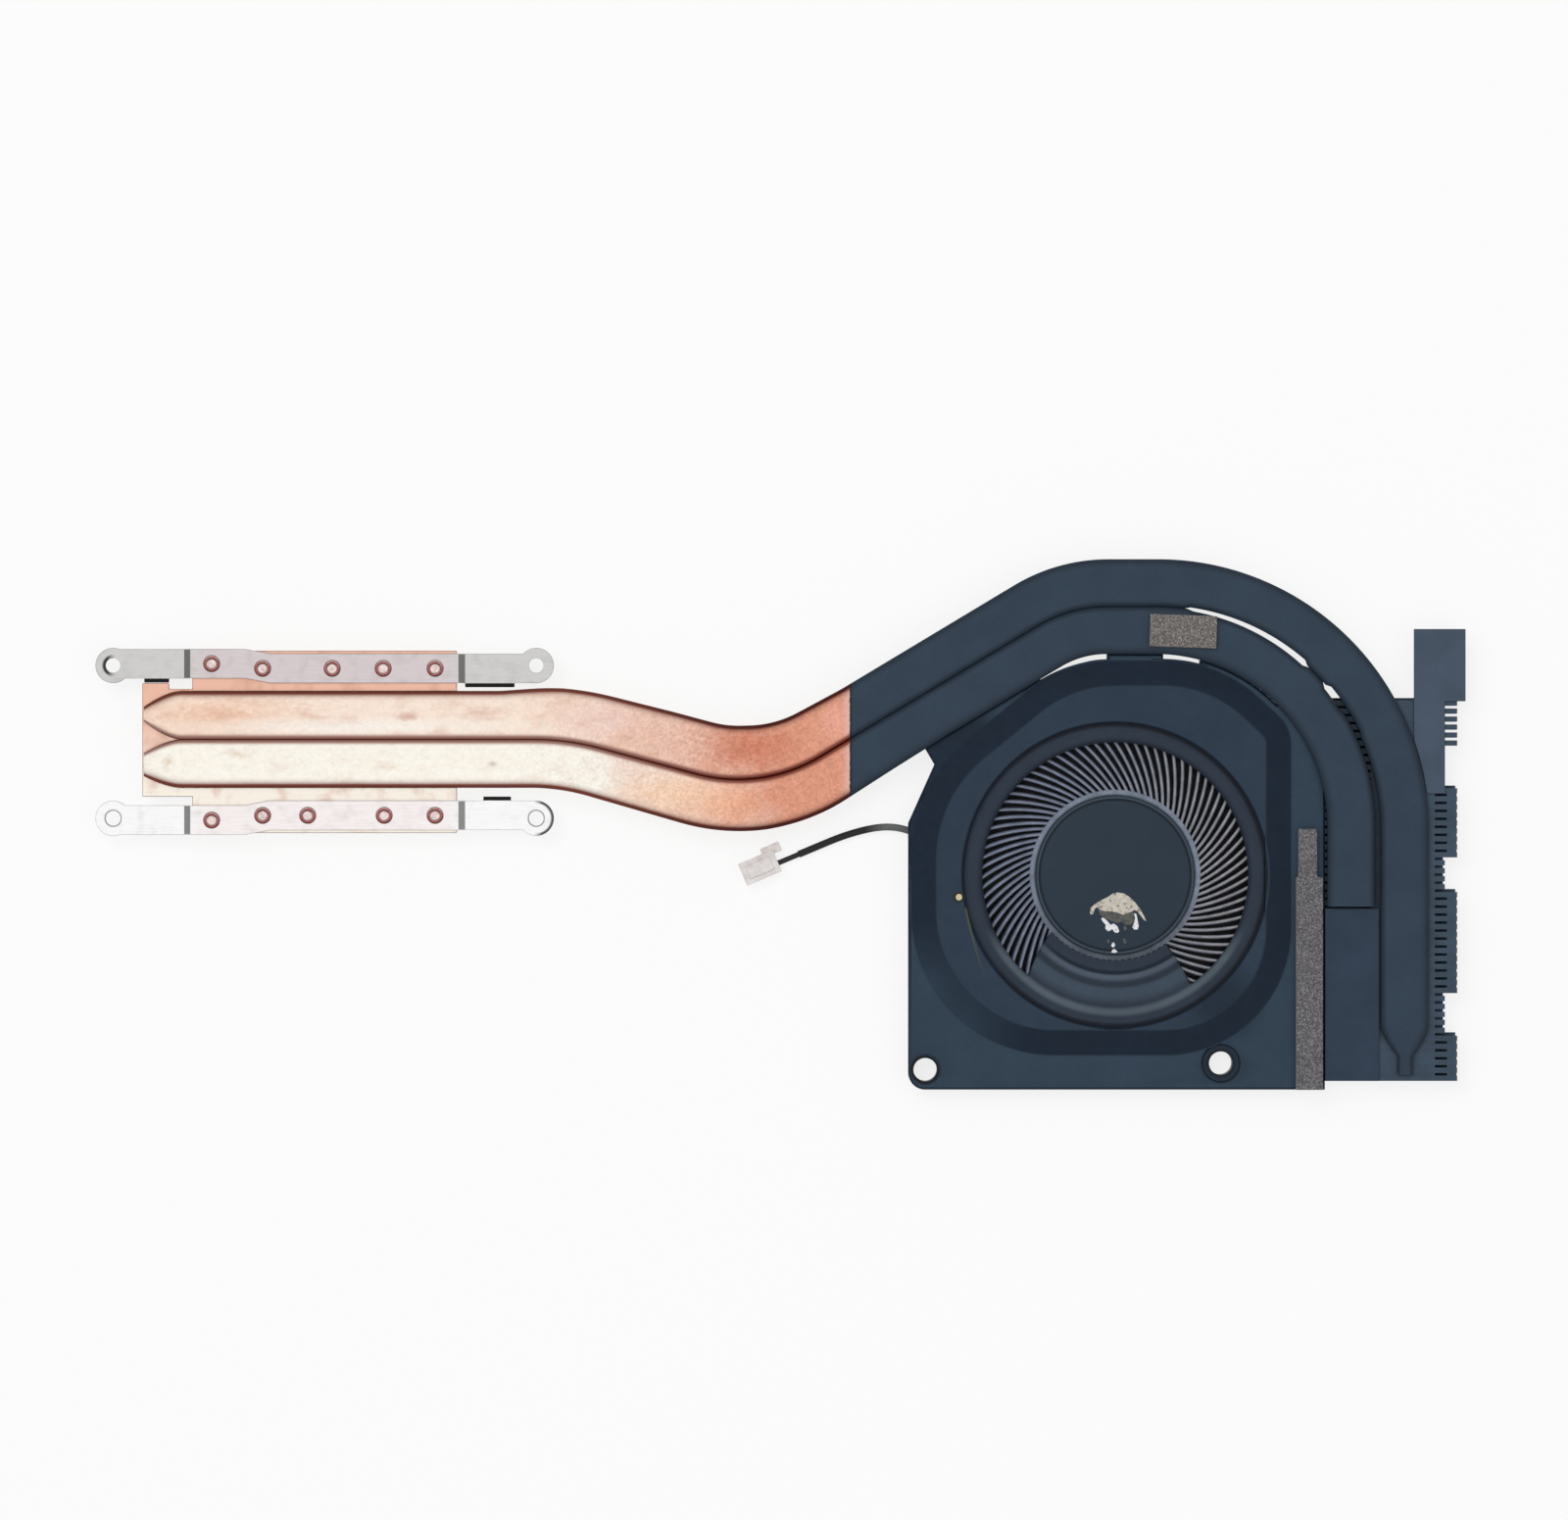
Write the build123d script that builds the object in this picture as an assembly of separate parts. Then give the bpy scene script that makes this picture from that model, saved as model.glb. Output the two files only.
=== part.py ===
from build123d import *
import os
from math import atan2, cos, degrees, hypot, log, radians, sin, sqrt, tan

# Laptop heat sink with blower, in millimetres.
# The origin is the centre of the cold plate's contact face, +X runs from the chip towards the
# blower and +Z points away from the chip, towards the blower's inlet side.

# Cold plate
plate_thickness = 1.0
plate_length = 45.0
plate_width = 31.0
tongue_length = 8.5
tongue_upper_edge = 10.0
tongue_lower_edge = -9.33
tongue_notch_length = 4.0
tongue_notch_depth = 1.0

# Spring brackets, seated on the plate's wings
bracket_thickness = 0.6
bracket_width = 5.0
bracket_row = 12.5
bracket_jog = 0.8
jog_start = -13.5
jog_end = -9.3
step_run = 1.1
step_clearance = 0.3
arm_height = 0.2
screw_span_x = 72.0
screw_span_y = 26.0
eye_radius = 3.0
eye_hole_radius = 1.25
lug_thickness = 0.7
lug_drop = 0.2
upper_lugs = ((-30.7, 4.2), (23.9, 8.4))
lower_lugs = ((27.0, 4.7),)

# Heat pipes: two flattened tubes side by side. The gaps between them are listed run by run:
# on the plate, down the dip, up the climb, over the blower and along the fins.
pipe_width = 7.7
pipe_thickness = 1.5
pipe_edge = 0.45
pipe_gaps = (0.8, 0.7, 0.3, 0.45, 1.55)
pipe_pair_y = 0.42
pipe_tip_x = -30.67
outer_tip_width = 2.6
inner_tip_width = 4.0
fin_end_tip_width = 1.6
pipe_tip_thickness = 0.9
pipe_start_taper = 6.2
pipe_end_taper = 8.4
taper_power = 1.6
taper_stations = (0.0, 0.4, 0.75, 1.0)
dip_start = 40.95
dip_end = 74.8
dip_angle = 15.0
climb_angle = 31.0
inner_bends = (40.0, 31.5, 19.0, 33.3)
inner_pipe_end = -28.0
outer_pipe_end = -56.6

# Fin stack
fin_count = 48
fin_pitch = 1.358
fin_thickness = 0.2
fin_height = 4.0
fin_left = 170.2
fin_pipe_inset = 0.5
fin_gap = 0.45
fin_length = 22.5
fin_tooth_start = 18.1
fin_short_length = 20.4
fin_upper_end = 7.5
fin_notches = ((7.5, 14.5), (27.0, 32.7), (50.0, 57.0))
open_teeth_length = 7.5

# Sheet pieces on the fins
sheet_thickness = 0.4
sheet_pipe_gap = 0.25
tab_inset = 15.1
tab_width = 8.8
tab_top = 19.2
tab_strip_width = 5.3
tab_strip_bottom = -8.8
tab_base = 6.9
cover_plate_gap = 0.35
cover_plate_width = 9.2

# Blower housing
axis_x = 134.5
axis_y = -22.67
housing_left = 99.33
housing_bottom = -59.17
housing_top = 14.97
housing_corner = 2.8
housing_pipe_gap = 0.1
shoulder_x = 103.8
shoulder_y = -3.85
shoulder_upper_x = 102.1
shoulder_upper_y = -0.95
shoulder_foot_y = -13.83
outlet_part_left = 157.0
outlet_top = 6.3
outlet_bottom = -57.2
view_gap_depth = 0.9
view_gaps = ((121.8, 133.2), (142.7, 149.0))
base_floor = -3.6
base_thickness = 0.8
wall_top = 0.4
wall_thickness = 0.8
cover_thickness = 0.5
fan_screw_radius = 2.0
fan_screw_seat = 3.2
fan_screw_seat_depth = 0.2
left_screw_inset = (2.87, 3.37)
right_screw_inset = (17.7, 4.47)

# Embossed plateau of the cover, its foot and slope
emboss_height = 1.0
emboss_slope = 4.6
emboss_left = 99.9
emboss_right = 164.9
emboss_bottom = -53.8
emboss_side_gap = 0.65
emboss_corner_y = 2.6
emboss_corner_x = 152.5
emboss_shoulder_y = -7.2
emboss_shoulder_x = 125.7
emboss_bends = (25.0, 22.0, 6.8, 25.0, 25.0, 27.0)

# Inlet with its coined lip and the crescent at its lower side
inlet_ring_radius = 25.8
inlet_radius = 22.6
lip_step = 0.3
crescent_shift = 60.0
crescent_edge = 16.9
crescent_angle = 264.0

# Impeller
hub_radius = 14.6
hub_top = 1.3
hub_cap_radius = 13.5
hub_cap_thickness = 0.6
blade_count = 83
blade_tip_radius = 26.3
blade_thickness = 0.35
blade_sweep = 33.0
blade_top = 0.8
blade_bottom = -2.2
blade_root_depth = 0.3

# Motor
yoke_radius = 13.15
yoke_thickness = 0.35
yoke_bottom = -2.0
rotor_glue_gap = 0.05
magnet_thickness = 1.2
magnet_bottom = -1.9
air_gap = 0.5
pole_count = 9
pole_face_depth = 0.9
pole_face_share = 0.8
pole_arm_width = 1.5
core_ring_width = 1.2
core_thickness = 1.0
core_bottom = -1.6
coil_build = 0.6
coil_inner_gap = 0.5
coil_outer_gap = 0.25
shaft_radius = 1.0
shaft_bottom_gap = 0.05
bearing_clearance = 0.03
sleeve_radius = 2.2
tube_radius = 3.0
tube_top = 0.0
fixed_fit = 0.02
pocket_floor = 0.2
thrust_pad_thickness = 0.3
board_thickness = 0.3
board_radius = 10.5
board_sides = 8
board_hole_gap = 0.9
board_tongue_angle = 183.8
board_tongue_width = 3.6
board_tongue_reach = 31.4
solder_length = 2.0
solder_width = 2.4
solder_share = 0.5

# Lead and its plug. The route is chosen by hand, from the solder block to the plug.
lead_diameter = 1.2
lead_sides = 6
lead_route = (
    (105.6, -23.6, -1.9),
    (105.0, -20.2, -2.0),
    (102.9, -17.0, -2.1),
    (99.4, -14.9, -2.2),
    (95.0, -14.3, -2.5),
    (89.0, -15.7, -2.85),
    (83.0, -18.2, -2.97),
    (77.2, -20.65, -2.97),
)
lead_bend_share = 0.45
lead_hole_radius = 0.9
lead_hole_length = 4.0
plug_length = 6.4
plug_width = 4.0
plug_height = 2.4
plug_shift = -0.5
plug_rail_width = 2.2
plug_rail_length = 4.4
plug_rail_height = 0.4
plug_ear_length = 3.4
plug_ear_back = 1.4
plug_ear_width = 1.6
plug_ear_reach = 0.9
plug_ear_height = 1.7
contact_count = 4
contact_pitch = 0.85
contact_width = 0.45
contact_height = 0.9
contact_length = 2.6
contact_clearance = 0.1

# Foam gaskets
pipe_pad_x = 146.0
pipe_pad_y = 18.8
pipe_pad_length = 11.3
pipe_pad_width = 5.5
pipe_pad_thickness = 1.0
pipe_pad_turn = -2.0
strip_left = 165.25
strip_right = 169.8
strip_top = -14.8
strip_neck_length = 8.3
strip_neck_left_inset = 0.4
strip_neck_right_inset = 1.0
strip_thickness = 1.4

# Heights and places that follow from the sizes above
far = 200.0
pipe_top = plate_thickness + pipe_thickness
pipe_middle = plate_thickness + pipe_thickness / 2
fin_top = plate_thickness
housing_right = fin_left
flange_top = wall_top + cover_thickness
plateau_top = flange_top + emboss_height
base_top = base_floor + base_thickness
axis = Pos(axis_x, axis_y, 0)


def slab(face, low, high):
    """The prism of a flat face between two heights."""
    return extrude(Pos(0, 0, low) * face, amount=high - low, dir=(0, 0, 1))


def rectangle(x0, y0, x1, y1):
    """The rectangle between two corners."""
    return Pos((x0 + x1) / 2, (y0 + y1) / 2) * Rectangle(abs(x1 - x0), abs(y1 - y0))


def band(path, width):
    """The flat band of one width along a path."""
    return make_face(trace(path, line_width=width).face().outer_wire().edges())


def ribbon(points, width):
    """The flat strip of one upright width along a line of points."""
    upper = [(x, y + width / 2) for x, y in points]
    lower = [(x, y - width / 2) for x, y in reversed(points)]
    return make_face(Polyline(*upper, *lower, close=True))


def turned(profile):
    """The solid of revolution of (radius, height) points about the blower's axis."""
    face = make_face(Polyline(*profile, close=True))
    return axis * revolve(Plane.XZ * face, axis=Axis.Z)


def cold_plate():
    """Copper plate: two wings for the brackets and a tongue under the pipe ends."""
    wing_left = -plate_length / 2
    tongue_left = wing_left - tongue_length
    plan = Rectangle(plate_length, plate_width)
    plan += rectangle(tongue_left, tongue_lower_edge, 0, tongue_upper_edge)
    notch_floor = tongue_upper_edge - tongue_notch_depth
    plan -= rectangle(wing_left - tongue_notch_length, notch_floor, wing_left, tongue_upper_edge)
    return slab(plan, 0, plate_thickness)


def spring_bracket(side, lugs):
    """Spring steel strip: seat on the plate, jog, a step down at each end and two screw eyes."""
    eye_x = screw_span_x / 2
    eye_y = screw_span_y / 2
    jogged = bracket_row + bracket_jog
    spine = [(-eye_x, jogged), (jog_start, jogged), (jog_end, bracket_row), (eye_x, bracket_row)]
    eyes = [Pos(-eye_x, eye_y), Pos(eye_x, eye_y)]
    plan = ribbon(spine, bracket_width)
    for eye in eyes:
        plan += eye * Circle(eye_radius)
    for eye in eyes:
        plan -= eye * Circle(eye_hole_radius)

    arm_middle = arm_height + bracket_thickness / 2
    seat_middle = plate_thickness + bracket_thickness / 2
    step_top = plate_length / 2 + step_clearance
    step_foot = step_top + step_run
    fold = [
        (-far, arm_middle), (-step_foot, arm_middle), (-step_top, seat_middle),
        (step_top, seat_middle), (step_foot, arm_middle), (far, arm_middle),
    ]
    strip = extrude(Plane.XZ * ribbon(fold, bracket_thickness), amount=far, both=True)
    bracket = slab(plan, -far, far) & strip

    for lug_x, lug_length in lugs:
        row = jogged if lug_x < 0 else bracket_row
        inner_edge = row - bracket_width / 2
        lug = rectangle(lug_x, inner_edge - lug_thickness, lug_x + lug_length, inner_edge)
        bracket += slab(lug, arm_height - lug_drop, arm_height + bracket_thickness)
    return bracket if side > 0 else mirror(bracket, Plane.XZ)


def shifted_corners(points, shifts):
    """The corners of a route whose runs lie to the left of another's, each by its own shift."""
    runs = []
    for (x0, y0), (x1, y1), shift in zip(points, points[1:], shifts):
        length = hypot(x1 - x0, y1 - y0)
        normal = (-(y1 - y0) / length, (x1 - x0) / length)
        runs.append((*normal, normal[0] * x0 + normal[1] * y0 + shift))
    corners = []
    for (a, b, c), (d, e, f) in zip(runs, runs[1:]):
        determinant = a * e - b * d
        corners.append(((c * e - b * f) / determinant, (a * f - c * d) / determinant))
    return corners


def inner_route():
    """The inner pipe's corners: plate row, dip, climb, over the blower, down along the fins."""
    row = pipe_pair_y - (pipe_width + pipe_gaps[0]) / 2
    dip_y = row - (dip_end - dip_start) * tan(radians(dip_angle))
    top = housing_top + housing_pipe_gap + pipe_width / 2
    climb_end = dip_end + (top - dip_y) / tan(radians(climb_angle))
    drop_x = fin_left + fin_pipe_inset + pipe_width / 2
    start = (pipe_tip_x + pipe_start_taper, row)
    return [
        start, (dip_start, row), (dip_end, dip_y), (climb_end, top), (drop_x, top),
        (drop_x, inner_pipe_end),
    ]


def outer_route():
    """The outer pipe's corners, beside those of the inner pipe."""
    shifts = [pipe_width + gap for gap in pipe_gaps]
    corners = shifted_corners(inner_route(), shifts)
    start = (pipe_tip_x + pipe_start_taper, corners[0][1])
    return [start, *corners, (corners[-1][0], outer_pipe_end + pipe_end_taper)]


def outer_bends():
    """Bend radii that keep the outer pipe beside the inner one; the dip turns the other way."""
    turns = (1, -1, 1, 1)
    pitches = [pipe_width + (gap + later) / 2 for gap, later in zip(pipe_gaps, pipe_gaps[1:])]
    return [bend + turn * pitch for bend, turn, pitch in zip(inner_bends, turns, pitches)]


def pipe_section(width, thickness):
    """A flattened tube's outline, flat on both sides with eased edges."""
    edge = pipe_edge * thickness / pipe_thickness
    return chamfer(Rectangle(width, thickness).vertices(), edge)


def pipe_taper(start, direction, length, tip):
    """The swaged end of a pipe: its sides close in along a slight curve to the sealed tip."""
    across = (-direction[1], direction[0], 0)
    faces = []
    for share in taper_stations:
        width = pipe_width + (tip - pipe_width) * share**taper_power
        thickness = pipe_thickness + (pipe_tip_thickness - pipe_thickness) * share**2
        reach = share * length
        centre = (start[0] + direction[0] * reach, start[1] + direction[1] * reach, pipe_middle)
        plane = Plane(origin=centre, x_dir=across, z_dir=(*direction, 0))
        faces.append(plane * pipe_section(width, thickness))
    return loft(faces, ruled=True)


def heat_pipe(corners, bends, start_tip, end_tip=None):
    """A flattened pipe along its route, with a swaged end at the plate and perhaps at the fins."""
    path = Pos(0, 0, pipe_middle) * FilletPolyline(*corners, radius=bends)
    start_plane = Plane(origin=path @ 0, x_dir=(0, 1, 0), z_dir=(1, 0, 0))
    pipe = sweep(start_plane * pipe_section(pipe_width, pipe_thickness), path=path)
    pipe += pipe_taper(corners[0], (-1, 0), pipe_start_taper, start_tip)
    if end_tip:
        pipe += pipe_taper(corners[-1], (0, -1), pipe_end_taper, end_tip)
    return pipe


def fin_stack():
    """Stamped fins with folded edges, zipped together; some teeth are cut short."""
    fin_bottom = fin_top - fin_height
    flange = fin_pitch - fin_gap
    folded = [
        (0, fin_bottom), (fin_pitch, fin_bottom), (fin_pitch, fin_bottom + fin_thickness),
        (fin_thickness, fin_bottom + fin_thickness), (fin_thickness, fin_top - fin_thickness),
        (flange, fin_top - fin_thickness), (flange, fin_top), (0, fin_top),
    ]
    profile = Plane.YZ * make_face(Polyline(*folded, close=True))

    def channel(length):
        return extrude(profile, amount=length, dir=(1, 0, 0))

    between_teeth = rectangle(fin_tooth_start, flange, fin_length, fin_pitch)
    closed_fin = channel(fin_length)
    open_fin = closed_fin - slab(between_teeth, fin_bottom, fin_top)
    short_fin = channel(fin_short_length)
    fins = []
    for index in range(fin_count):
        reach = (index + 0.5) * fin_pitch
        fin = open_fin if reach < open_teeth_length else closed_fin
        if any(start < reach < end for start, end in fin_notches):
            fin = short_fin
        fins.append(Pos(fin_left, fin_upper_end - (index + 1) * fin_pitch, 0) * fin)
    return Compound(fins)


def fin_tab_plate():
    """Sheet strip on the fins beside the outer pipe, with a square tab past the stack's end."""
    tab_left = fin_left + tab_inset
    plan = rectangle(tab_left, tab_base, tab_left + tab_width, tab_top)
    plan += rectangle(tab_left, tab_strip_bottom, tab_left + tab_strip_width, tab_base)
    beside = FilletPolyline(*outer_route(), radius=outer_bends())
    plan -= band(beside, pipe_width + 2 * sheet_pipe_gap)
    return slab(plan.faces().sort_by(Axis.X)[-1], fin_top, fin_top + sheet_thickness)


def fin_cover_plate():
    """Sheet over the fins below the inner pipe's end."""
    top = inner_pipe_end - cover_plate_gap
    bottom = fin_upper_end - fin_count * fin_pitch
    plan = rectangle(fin_left, bottom, fin_left + cover_plate_width, top)
    return slab(plan, fin_top, fin_top + sheet_thickness)


def left_screw():
    """Place of the screw hole in the housing's lower left corner."""
    return Pos(housing_left + left_screw_inset[0], housing_bottom + left_screw_inset[1])


def right_screw():
    """Place of the screw hole beside the outlet."""
    return Pos(housing_right - right_screw_inset[0], housing_bottom + right_screw_inset[1])


def screw_holes(radius):
    """Circles at the blower's two screw holes."""
    return Sketch() + [place * Circle(radius) for place in (left_screw(), right_screw())]


def housing_outline():
    """Plan of the blower: straight sides, a shoulder, and an edge that follows the inner pipe."""
    route = inner_route()
    edge = FilletPolyline(*route, radius=inner_bends)
    start = route[0]
    end = route[-1]
    closing = Polyline(end, (end[0], -far), (start[0], -far), start)
    beneath_pipe = make_face([*edge.edges(), *closing.edges()])
    block = rectangle(housing_left, housing_bottom, housing_right, far)
    outline = (block & beneath_pipe) - band(edge, pipe_width + 2 * housing_pipe_gap)
    wide_band = band(edge, pipe_width + 2 * (housing_pipe_gap + view_gap_depth))
    for left, right in view_gaps:
        outline -= wide_band & rectangle(left, 0, right, far)
    outline += rectangle(outlet_part_left, housing_bottom, housing_right, outlet_top)
    shoulder = Polyline(
        (housing_left, shoulder_foot_y), (shoulder_x, shoulder_y),
        (shoulder_upper_x, shoulder_upper_y), (shoulder_upper_x, far),
        (housing_left - far, far), (housing_left - far, shoulder_foot_y), close=True,
    )
    outline -= make_face(shoulder)
    corner = outline.vertices().sort_by_distance((housing_left, housing_bottom))[0]
    return fillet(corner, housing_corner)


def emboss_outline():
    """Foot of the cover's plateau, a rounded outline that follows the scroll."""
    top = housing_top - emboss_side_gap
    corners = [
        (emboss_left, emboss_bottom), (emboss_right, emboss_bottom),
        (emboss_right, emboss_corner_y), (emboss_corner_x, top),
        (emboss_shoulder_x, top), (emboss_left, emboss_shoulder_y),
    ]
    return make_face(FilletPolyline(*corners, radius=emboss_bends, close=True))


def inlet_opening():
    """The inlet circle, less the crescent at its lower side."""
    towards = radians(crescent_angle + 180)
    shifted = Pos(crescent_shift * cos(towards), crescent_shift * sin(towards))
    return axis * (Circle(inlet_radius) & shifted * Circle(crescent_shift + crescent_edge))


def fan_cover():
    """Pressed cover: flange, embossed plateau, coined inlet lip and a screw seat."""
    foot = emboss_outline()
    lean = degrees(atan2(emboss_slope, emboss_height))
    raised = extrude(Pos(0, 0, flange_top) * foot, amount=emboss_height, dir=(0, 0, 1), taper=lean)
    hollow = Pos(0, 0, -cover_thickness) * raised
    cover = slab(housing_outline() - screw_holes(fan_screw_radius), wall_top, flange_top)
    seat = right_screw() * Circle(fan_screw_seat)
    cover -= slab(seat, flange_top - fan_screw_seat_depth, flange_top)
    cover += raised
    cover -= hollow
    cover -= axis * slab(Circle(inlet_ring_radius), plateau_top - lip_step, far)
    return cover - slab(inlet_opening(), 0, far)


def fan_base():
    """Moulded base: closed floor with the motor's seat, scroll wall, screw holes, lead hole."""
    outline = housing_outline()
    inside = offset(outline, amount=-wall_thickness)
    mouth = rectangle(outlet_part_left, outlet_bottom, housing_right, outlet_top - wall_thickness)
    scroll = offset(emboss_outline(), amount=-emboss_side_gap)
    chamber = (scroll & inside) + mouth
    base = slab(outline, base_floor, wall_top)
    base -= slab(chamber, base_top, wall_top)
    base -= axis * slab(Circle(tube_radius + fixed_fit), base_floor + pocket_floor, base_top)
    base -= slab(screw_holes(fan_screw_radius), base_floor, wall_top)

    exit_point = Vector(*lead_route[3])
    heading = exit_point - Vector(*lead_route[2])
    hole_plane = Plane(origin=exit_point, z_dir=(heading.X, heading.Y, 0))
    hole = extrude(hole_plane * Circle(lead_hole_radius), amount=lead_hole_length / 2, both=True)
    return base - hole


def impeller():
    """Hub and curved blades, one moulding. Each blade lies along a spiral of constant sweep."""
    cap_under = hub_top - hub_cap_thickness
    bore = yoke_radius + rotor_glue_gap
    hub = turned([
        (0, hub_top), (hub_cap_radius, hub_top), (hub_cap_radius, blade_top),
        (hub_radius, blade_top), (hub_radius, blade_bottom), (bore, blade_bottom),
        (bore, cap_under), (0, cap_under),
    ])
    half_arc = blade_thickness / 2 / cos(radians(blade_sweep))

    def blade_point(radius, shift):
        turn = tan(radians(blade_sweep)) * log(radius / hub_radius) + shift / radius
        return (radius * cos(turn), radius * sin(turn))

    root = hub_radius - blade_root_depth
    stations = (root, (root + blade_tip_radius) / 2, blade_tip_radius)
    leading = [blade_point(radius, half_arc) for radius in stations]
    trailing = [blade_point(radius, -half_arc) for radius in reversed(stations)]
    blade = slab(make_face(Polyline(*leading, *trailing, close=True)), blade_bottom, blade_top)
    blades = [axis * (Rot(0, 0, index * 360 / blade_count) * blade) for index in range(blade_count)]
    return hub + blades


def rotor_yoke():
    """Steel cup that closes the magnet's field."""
    top = hub_top - hub_cap_thickness
    inner = yoke_radius - yoke_thickness
    return turned([
        (0, top), (yoke_radius, top), (yoke_radius, yoke_bottom), (inner, yoke_bottom),
        (inner, top - yoke_thickness), (0, top - yoke_thickness),
    ])


def rotor_magnet():
    """Ring magnet inside the yoke."""
    outer = yoke_radius - yoke_thickness - rotor_glue_gap
    inner = outer - magnet_thickness
    top = hub_top - hub_cap_thickness - yoke_thickness
    return turned([(inner, magnet_bottom), (outer, magnet_bottom), (outer, top), (inner, top)])


def shaft():
    """Shaft, welded to the yoke's underside and running in the sleeve."""
    bottom = base_floor + pocket_floor + thrust_pad_thickness + shaft_bottom_gap
    top = hub_top - hub_cap_thickness - yoke_thickness
    return axis * slab(Circle(shaft_radius), bottom, top)


def bearing_tube():
    """Brass tube in the base, which carries the stator on its outside."""
    ring = Circle(tube_radius) - Circle(sleeve_radius + fixed_fit)
    return axis * slab(ring, base_floor + pocket_floor, tube_top)


def thrust_pad():
    """Disc under the shaft's end."""
    bottom = base_floor + pocket_floor
    return axis * slab(Circle(sleeve_radius), bottom, bottom + thrust_pad_thickness)


def bearing_sleeve():
    """Sintered sleeve that the shaft runs in."""
    bottom = base_floor + pocket_floor + thrust_pad_thickness
    ring = Circle(sleeve_radius) - Circle(shaft_radius + bearing_clearance)
    return axis * slab(ring, bottom, tube_top)


def stator_sizes():
    """Radii of the stator: bore, ring and pole face."""
    bore = tube_radius + fixed_fit
    face = yoke_radius - yoke_thickness - rotor_glue_gap - magnet_thickness - air_gap
    return bore, bore + core_ring_width, face


def stator_core():
    """Laminated core: a ring with arms that end in wide pole faces."""
    bore, ring, face = stator_sizes()
    half_face = face * tan(radians(pole_face_share * 180 / pole_count))
    face_reach = sqrt(face**2 - half_face**2)
    pole = rectangle(face_reach - pole_face_depth, -half_face, face_reach, half_face)
    pole += rectangle(bore, -pole_arm_width / 2, face_reach, pole_arm_width / 2)
    plan = Circle(ring) + PolarLocations(0, pole_count) * pole
    return axis * slab(plan - Circle(bore), core_bottom, core_bottom + core_thickness)


def stator_coils():
    """One winding round each arm of the core."""
    _, ring, face = stator_sizes()
    half_face = face * tan(radians(pole_face_share * 180 / pole_count))
    start = ring + coil_inner_gap
    length = sqrt(face**2 - half_face**2) - pole_face_depth - coil_outer_gap - start
    section = Rectangle(pole_arm_width + 2 * coil_build, core_thickness + 2 * coil_build)
    section -= Rectangle(pole_arm_width, core_thickness)
    middle = core_bottom + core_thickness / 2
    coil = extrude(Plane(origin=(start, 0, middle), z_dir=(1, 0, 0), x_dir=(0, 1, 0)) * section, length)
    return Compound([axis * place * coil for place in PolarLocations(0, pole_count)])


def motor_board():
    """Eight-sided board on the base with a tongue along the floor to the solder block."""
    disc = RegularPolygon(board_radius, board_sides)
    tongue = Rectangle(board_tongue_reach, board_tongue_width, align=(Align.MIN, Align.CENTER))
    plan = disc + Rot(0, 0, board_tongue_angle) * tongue - Circle(tube_radius + board_hole_gap)
    return axis * slab(plan, base_top, base_top + board_thickness)


def solder_block():
    """Solder on the board's tongue, where the lead's wires end, low enough for the blades."""
    low = base_top + board_thickness
    height = solder_share * (blade_bottom - low)
    start = Vector(*lead_route[0])
    following = Vector(*lead_route[1])
    turn = degrees(atan2(following.Y - start.Y, following.X - start.X))
    face = Rectangle(solder_length, solder_width, align=(Align.MAX, Align.CENTER))
    return slab(Pos(start.X, start.Y) * Rot(0, 0, turn) * face, low, low + height)


def lead_bends():
    """Bend radii of the lead, each as large as its two runs allow."""
    points = [Vector(*point) for point in lead_route]
    bends = []
    for before, here, after in zip(points, points[1:], points[2:]):
        turn = radians((here - before).get_angle(after - here))
        shorter = min((here - before).length, (after - here).length)
        bends.append(lead_bend_share * shorter / tan(turn / 2))
    return bends


def fan_lead():
    """Sleeved lead from the solder block to the plug."""
    path = FilletPolyline(*lead_route, radius=lead_bends())
    outline = RegularPolygon(lead_diameter / 2, lead_sides)
    section = Plane(origin=path @ 0, z_dir=path % 0) * outline
    lead = sweep(section, path=path)
    print("lead bends", [round(bend, 1) for bend in lead_bends()])
    print("lead volume over section times length", lead.volume / (section.area * path.length))
    return lead


def plug_frame():
    """Place of the plug: its back face at the lead's end, its underside on the floor line."""
    end = Vector(*lead_route[-1])
    before = Vector(*lead_route[-2])
    turn = degrees(atan2(end.Y - before.Y, end.X - before.X))
    return Pos(end.X, end.Y, base_floor) * Rot(0, 0, turn)


def contact_cells(clearance):
    """Cross-sections of the plug's contacts, seen along the plug."""
    first = plug_shift - (contact_count - 1) / 2 * contact_pitch
    offsets = [first + index * contact_pitch for index in range(contact_count)]
    middle = plug_height / 2
    cell = Rectangle(contact_width + 2 * clearance, contact_height + 2 * clearance)
    return [Pos(across, middle) * cell for across in offsets]


def fan_connector():
    """Plug housing with a rail on top, an ear at one side and open cells at its front."""
    middle = Pos(plug_length / 2, plug_shift)
    housing = slab(middle * Rectangle(plug_length, plug_width), 0, plug_height)
    rail = middle * Rectangle(plug_rail_length, plug_rail_width)
    housing += slab(rail, plug_height, plug_height + plug_rail_height)
    ear_side = plug_shift - plug_width / 2 - plug_ear_reach
    ear_front = plug_ear_length - plug_ear_back
    ear = rectangle(-plug_ear_back, ear_side, ear_front, ear_side + plug_ear_width)
    housing += slab(ear, 0, plug_ear_height)
    front = Plane(origin=(plug_length, 0, 0), x_dir=(0, 1, 0), z_dir=(1, 0, 0))
    for cell in contact_cells(contact_clearance):
        housing -= extrude(front * cell, amount=-contact_length)
    return plug_frame() * housing


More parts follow.
